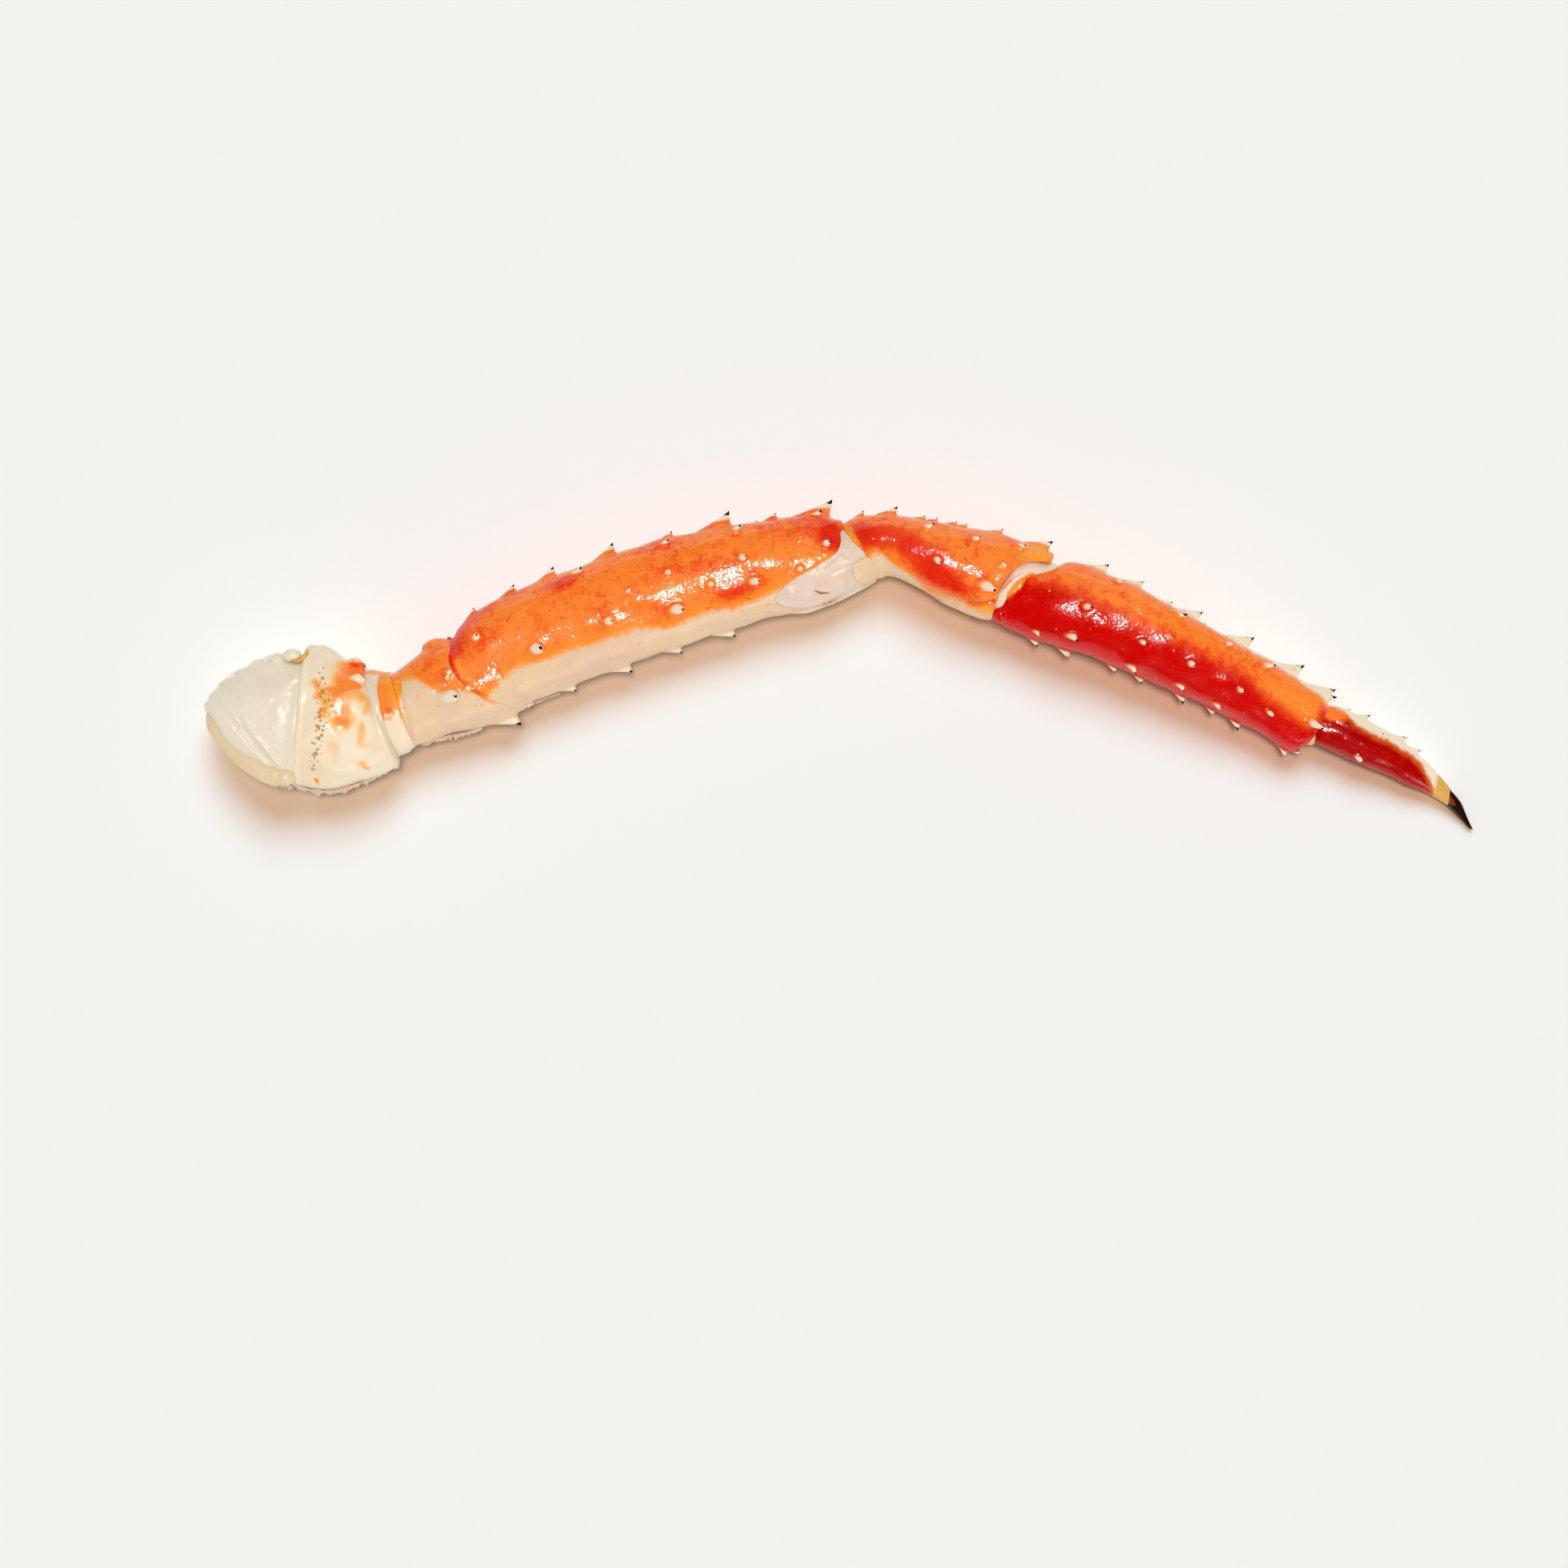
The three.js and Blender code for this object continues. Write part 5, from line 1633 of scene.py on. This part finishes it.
# Torn films: plan points and heights along their root, how far they reach and how far they droop.
FILMS = [
    ([(-204.5, -34, 16), (-197, -40, 14), (-189, -42.6, 13)], 2.4, 1.0),
    ([(-189, -41.5, 17), (-182, -43.6, 15), (-174, -43.6, 14), (-165, -40.8, 13), (-157, -37.2, 13)],
     2.2, 1.4),
    ([(-145, -28, 13), (-138, -25.5, 12), (-131, -24.2, 12), (-124, -22, 12)], 2.0, 1.4),
    ([(-110, -15, 13), (-104, -12.6, 12), (-97, -10, 12)], 1.0, 1.0),
]
# The frill of the torn end, in the same way.
FRILLS = [
    ([(-188, 3.8, 18), (-196, 1.8, 17), (-204, -1.6, 16), (-210.5, -5, 16), (-216, -11, 16)], 3.0, 0.2),
    ([(-189, 3.0, 21), (-197, 0.4, 20), (-205, -3.2, 19), (-211, -7, 18), (-215.5, -12, 17)], 2.2, 0.1),
]
FILM_STEPS = 90
FILM_ROWS = (-0.5, 0, 0.3, 0.6, 0.85, 1)  # shares of the reach, from the sunk root to the free edge
FILM_THICK = 0.25  # half the thickness of a film


def ragged_film(path, reach, droop, bites, draw):
    """A thin torn film along a root line, with a frayed and wavy free edge whose bites are a few steps
    wide."""
    line = smooth_path(path, FILM_STEPS)
    ragged = np.array([draw.uniform(0.15, 1) ** 1.5 for _ in range(FILM_STEPS)])
    kernel = np.hanning(bites + 2)[1:-1]
    ragged = reach * np.convolve(ragged, kernel / kernel.sum(), "same")
    ragged *= np.sin(np.linspace(0.1, math.pi - 0.1, FILM_STEPS)) ** 0.3
    ahead = np.gradient(line, axis=0)
    ahead /= np.linalg.norm(ahead, axis=1)[:, None]
    out = np.cross(ahead, [0, 0, 1.0])
    wave = np.convolve([draw.uniform(-1, 1) for _ in range(FILM_STEPS)], np.ones(4) / 4, "same")
    rows = []
    for share in FILM_ROWS:
        lift = 0.5 * wave * max(share, 0) - droop * share * abs(share)
        rows.append(line + out * (share * ragged)[:, None] + np.outer(lift, [0, 0, 1]))
    top = np.array(rows)
    thick = np.array([0, 0, FILM_THICK])
    section = np.concatenate([top + thick, (top - thick)[::-1]]).transpose(1, 0, 2)
    return closed_skin(section, (line[:1], line[-1:]))


def film_piece(name, films, bites, seed, tone, colours):
    """Torn films of one kind, as one mesh."""
    draw = random.Random(seed)
    meshes = [ragged_film(*film, bites, draw) for film in films]
    mesh = settled(gathered(meshes), ("SUBSURF", {"levels": 1, "render_levels": 1}))
    points = points_of(mesh)
    points += vertex_rows(mesh, "normal") * (0.12 * clouds(points, 1.5, 19))[:, None]
    finish = skin_finish(name.replace("_", " "), colours, tone, colours.ivory)
    return dress(name, mesh, points, {}, finish, None)


# Bristles: the shell, along, degrees round, length and turn away from the claw's direction.
BRISTLES = [
    ("merus", 0.13, 62, 4.5, -35), ("merus", 0.07, 70, 2.6, 10), ("merus", 0.36, 68, 3.0, 60),
    ("merus", 0.25, 80, 2.0, 25), ("merus", 0.44, 84, 2.8, -20), ("merus", 0.35, 40, 1.6, 75),
    ("merus", 0.60, 118, 1.8, 15), ("merus", 0.71, 120, 2.2, 20), ("ischium", 0.6, 70, 2.2, 0),
    ("ischium", 0.72, 66, 1.4, 40), ("carpus", 0.3, 88, 1.4, -60), ("propodus", 0.28, 60, 1.6, 30),
    ("propodus", 0.5, 80, 1.5, -45), ("carpus", 0.62, 60, 1.3, 20),
]
BRISTLE_STEPS = 12
# The fibre on the knee's skin: plan points and heights above the skin.
FIBRE = [(-9.3, 25, 0.6), (-7.1, 24, 0.7), (-3.8, 24, 0.5)]
FIBRE_RIB, FIBRE_DEGREES = 1.6, 96  # where the height of the knee's face is read for it
FIBRE_RADIUS = 0.42


def bristle_piece(colours, sizes):
    """A few fine bristles that lie on the shells, and the fibre on the knee's skin."""
    draw = random.Random(5)
    meshes = []
    radius = sizes.bristle / MM / 2
    for name, share, degrees, length, turn in BRISTLES:
        stand = Spine(name, share, degrees, 1.0, 1.0)
        bend = draw.uniform(-0.5, 0.5)
        line = []
        for t in np.linspace(0, 1, BRISTLE_STEPS):
            angle = math.radians(turn) + bend * t
            ahead = stand.forward * math.cos(angle) + stand.across * math.sin(angle)
            line.append(stand.root + ahead * length * t + stand.out * (0.1 + 1.2 * t * (1 - 0.6 * t)))
        radii = radius * np.linspace(1, 0.2, BRISTLE_STEPS)
        meshes.append(tube(line, radii, 6))
    top = Sections("knee", [FIBRE_RIB]).points([FIBRE_DEGREES])[0, 0][2] - SKIN_INSET
    fibre = smooth_path([(x, y, top + lift) for x, y, lift in FIBRE], 16)
    bristle_points = sum(len(mesh.vertices) for mesh in meshes)
    meshes.append(tube(fibre, FIBRE_RADIUS * np.sin(np.linspace(0.2, 2.9, len(fibre))), 8))
    mesh = gathered(meshes)
    points = points_of(mesh)
    marks = {"fibre": (np.arange(len(points)) >= bristle_points).astype(float)}
    return dress("bristles", mesh, points, marks, bristle_finish(colours), None)


# ------------ table, lights and camera

# Metres from here on.
TABLE_SIZE, TABLE_SQUARES = 40.0, 12
TABLE_DROP = 0.0002  # keeps the table's top clear of the flat spots that lie on it
CAMERA_PLAN = (-0.0196, -0.0414)  # the camera's place over the table
SENSOR_WIDTH = 36.0  # in millimetres, as the lens
# Each sun: where it stands, its share of the light on a level face, its spread in radians and its
# tone. The leg's suns are almost neutral. The table's are tones that add up to white, because
# light that comes off the shells makes its shadow warm.
LEG_SUNS = [
    ("overhead", (0.05, 0.1, 1.0), 0.49, 0.8, (1, 1, 1)),
    ("back", (0.2, 1.0, 0.9), 0.14, 0.6, (1, 1, 1)),
    ("front", (0.1, -1.0, 0.5), 0.14, 0.8, (1, 0.99, 0.96)),
    ("left", (-1.0, -0.2, 0.4), 0.05, 0.8, (1, 1, 1)),
    ("right", (1.0, -0.2, 0.4), 0.05, 0.8, (1, 1, 1)),
]
TABLE_SUNS = [
    ("table_warm", (0.0, 0.06, 1.0), 0.45, 0.2, (1.0, 0.62, 0.4)),
    ("table_cool", (0.08, 0.72, 1.0), 0.73, 0.54, (0.47, 0.76, 0.92)),
]
SKY_TONE = (1.0, 0.8, 0.62)
# Each panel that only the gloss shows: where it hangs, its power, width, height and tone.
GLOSS_PANELS = [
    ("spark", (0.08, 0.1, 1.7), 15.0, 0.24, 0.12, (1, 1, 1)),
    ("sheen", (0.0, 2.0, 0.16), 6.0, 2.6, 0.3, (1, 0.98, 0.96)),
    ("glow", (0.75, -2.0, 0.8), 7.0, 1.2, 0.5, (1, 1, 1)),
]


def gloss_panel(name, place, power, width, height, tone):
    """A soft rectangular light that faces the leg and only the gloss shows."""
    data = bpy.data.lights.new(name, "AREA")
    data.shape = "RECTANGLE"
    data.size, data.size_y, data.energy, data.color = width, height, power, tone
    made = bpy.data.objects.new(name, data)
    bpy.context.scene.collection.objects.link(made)
    made.location = place
    aim = Vector() - Vector(place)
    made.rotation_euler = aim.to_track_quat("-Z", "Y").to_euler()
    made.visible_diffuse = False
    made.visible_camera = False


def table_piece(settings):
    """The table, a wide flat sheet of squares."""
    side = TABLE_SQUARES + 1
    steps = np.linspace(-TABLE_SIZE / 2, TABLE_SIZE / 2, side)
    points = [(x, y, 0.0) for y in steps for x in steps]
    corners = [row * side + k for row in range(TABLE_SQUARES) for k in range(TABLE_SQUARES)]
    faces = [[a, a + 1, a + side + 1, a + side] for a in corners]
    mesh = bpy.data.meshes.new("table")
    mesh.from_pydata(points, [], faces)
    mesh.materials.append(table_finish(settings))
    made = bpy.data.objects.new("table", mesh)
    bpy.context.scene.collection.objects.link(made)
    made.location.z = -TABLE_DROP
    return made


def camera_above(settings):
    """A camera that looks straight down."""
    data = bpy.data.cameras.new("camera")
    data.lens = settings.lens
    data.sensor_width = SENSOR_WIDTH
    made = bpy.data.objects.new("camera", data)
    bpy.context.scene.collection.objects.link(made)
    made.location = (*CAMERA_PLAN, settings.camera_height)
    bpy.context.scene.camera = made


def sun_light(name, source, share, spread, tone, strength, receivers):
    """A soft sun that gives a share of the light on a level face."""
    data = bpy.data.lights.new(name, "SUN")
    source = Vector(source).normalized()
    data.energy = math.pi * share * strength / source.z
    data.color, data.angle = tone, spread
    made = bpy.data.objects.new(name, data)
    bpy.context.scene.collection.objects.link(made)
    made.rotation_euler = source.to_track_quat("Z", "Y").to_euler()
    made.visible_glossy = False
    made.light_linking.receiver_collection = receivers


def table_group(name, table, state):
    """A group that takes the table in or leaves it out of a light's reach."""
    group = bpy.data.collections.new(name)
    group.objects.link(table)
    group.collection_objects[0].light_linking.link_state = state
    return group


def studio_light(settings, table):
    """A weak sky, suns for the leg and for the table, and panels that only the gloss shows."""
    all_but_table = table_group("all but the table", table, "EXCLUDE")
    only_table = table_group("only the table", table, "INCLUDE")
    for name, source, share, spread, tone in LEG_SUNS:
        sun_light(name, source, share, spread, tone, settings.sun_strength, all_but_table)
    for name, source, share, spread, tone in TABLE_SUNS:
        sun_light(name, source, share, spread, tone, settings.table_light, only_table)
    for name, place, power, width, height, tone in GLOSS_PANELS:
        gloss_panel(name, place, power * settings.gloss, width, height, tone)
    world = bpy.data.worlds.new("sky")
    bpy.context.scene.world = world
    world.use_nodes = True
    world.cycles_visibility.glossy = False
    back = world.node_tree.nodes["Background"]
    back.inputs["Color"].default_value = (*SKY_TONE, 1)
    back.inputs["Strength"].default_value = settings.sky


# ------------ operators


class LEG_OT_stage(bpy.types.Operator):
    """Adds the table, the lights and the camera"""

    bl_idname = "leg.stage"
    bl_label = "Stage"
    bl_options = {"REGISTER", "UNDO"}

    def execute(self, context):
        scene = context.scene
        settings = scene.leg_studio
        scene.view_settings.view_transform = "Standard"
        table = table_piece(settings)
        camera_above(settings)
        studio_light(settings, table)
        return {"FINISHED"}


class LEG_OT_torn_end(bpy.types.Operator):
    """Adds the torn shoulder end: flesh, shell bar and gristle pad"""

    bl_idname = "leg.torn_end"
    bl_label = "Torn end"
    bl_options = {"REGISTER", "UNDO"}

    def execute(self, context):
        scene = context.scene
        shoulder_flesh(scene.leg_colours)
        bar_piece(scene.leg_colours)
        pad_piece(scene.leg_colours)
        return {"FINISHED"}


class LEG_OT_hip(bpy.types.Operator):
    """Adds the coxa, the hip's fold and the basis"""

    bl_idname = "leg.hip"
    bl_label = "Hip"
    bl_options = {"REGISTER", "UNDO"}

    def execute(self, context):
        scene = context.scene
        coxa_piece(scene.leg_colours)
        hip_fold(scene.leg_colours)
        basis_piece(scene.leg_colours)
        return {"FINISHED"}


class LEG_OT_spined_shells(bpy.types.Operator):
    """Adds the spined shells from the ischium to the claw"""

    bl_idname = "leg.spined_shells"
    bl_label = "Spined shells"
    bl_options = {"REGISTER", "UNDO"}

    def execute(self, context):
        scene = context.scene
        for name in ("ischium", "merus", "carpus"):
            spined_shell(name, "shell", scene.leg_colours, scene.leg_sizes)
        for name in ("propodus", "dactyl"):
            spined_shell(name, "shell_deep", scene.leg_colours, scene.leg_sizes)
        spine_tips(scene.leg_colours)
        claw_horn(scene.leg_colours)
        return {"FINISHED"}


class LEG_OT_joint_skins(bpy.types.Operator):
    """Adds the skins of knee, wrist and claw, and the knee's plate"""

    bl_idname = "leg.joint_skins"
    bl_label = "Joint skins"
    bl_options = {"REGISTER", "UNDO"}

    def execute(self, context):
        scene = context.scene
        knee_piece(scene.leg_colours)
        plate_piece(scene.leg_colours)
        wrist_piece(scene.leg_colours)
        claw_skin_piece(scene.leg_colours)
        return {"FINISHED"}


class LEG_OT_film(bpy.types.Operator):
    """Adds the torn films along the lower edge and the frill of the torn end"""

    bl_idname = "leg.film"
    bl_label = "Torn film"
    bl_options = {"REGISTER", "UNDO"}

    def execute(self, context):
        colours = context.scene.leg_colours
        film_piece("torn_film", FILMS, bites=4, seed=3, tone=colours.pink, colours=colours)
        film_piece("frill", FRILLS, bites=8, seed=4, tone=colours.flesh, colours=colours)
        return {"FINISHED"}


class LEG_OT_bristles(bpy.types.Operator):
    """Adds the bristles"""

    bl_idname = "leg.bristles"
    bl_label = "Bristles"
    bl_options = {"REGISTER", "UNDO"}

    def execute(self, context):
        bristle_piece(context.scene.leg_colours, context.scene.leg_sizes)
        return {"FINISHED"}


class LEG_PT_panel(bpy.types.Panel):
    """Lists the operators and the settings"""

    bl_label = "Crab leg"
    bl_idname = "LEG_PT_panel"
    bl_space_type = "VIEW_3D"
    bl_region_type = "UI"
    bl_category = "Crab leg"

    def draw(self, context):
        for operator in OPERATORS:
            self.layout.operator(operator.bl_idname)
        for group in (context.scene.leg_sizes, context.scene.leg_colours, context.scene.leg_studio):
            box = self.layout.box()
            for key in group.__annotations__:
                box.prop(group, key)


OPERATORS = (
    LEG_OT_stage, LEG_OT_torn_end, LEG_OT_hip, LEG_OT_spined_shells, LEG_OT_joint_skins, LEG_OT_film,
    LEG_OT_bristles,
)
CLASSES = (LegColours, LegSizes, StudioSettings, *OPERATORS, LEG_PT_panel)


def register():
    for item in CLASSES:
        bpy.utils.register_class(item)
    bpy.types.Scene.leg_colours = bpy.props.PointerProperty(type=LegColours)
    bpy.types.Scene.leg_sizes = bpy.props.PointerProperty(type=LegSizes)
    bpy.types.Scene.leg_studio = bpy.props.PointerProperty(type=StudioSettings)


def unregister():
    del bpy.types.Scene.leg_studio
    del bpy.types.Scene.leg_sizes
    del bpy.types.Scene.leg_colours
    for item in reversed(CLASSES):
        bpy.utils.unregister_class(item)


def main():
    register()
    bpy.ops.leg.stage()
    bpy.ops.leg.torn_end()
    bpy.ops.leg.hip()
    bpy.ops.leg.spined_shells()
    bpy.ops.leg.joint_skins()
    bpy.ops.leg.film()
    bpy.ops.leg.bristles()


if __name__ == "__main__":
    main()
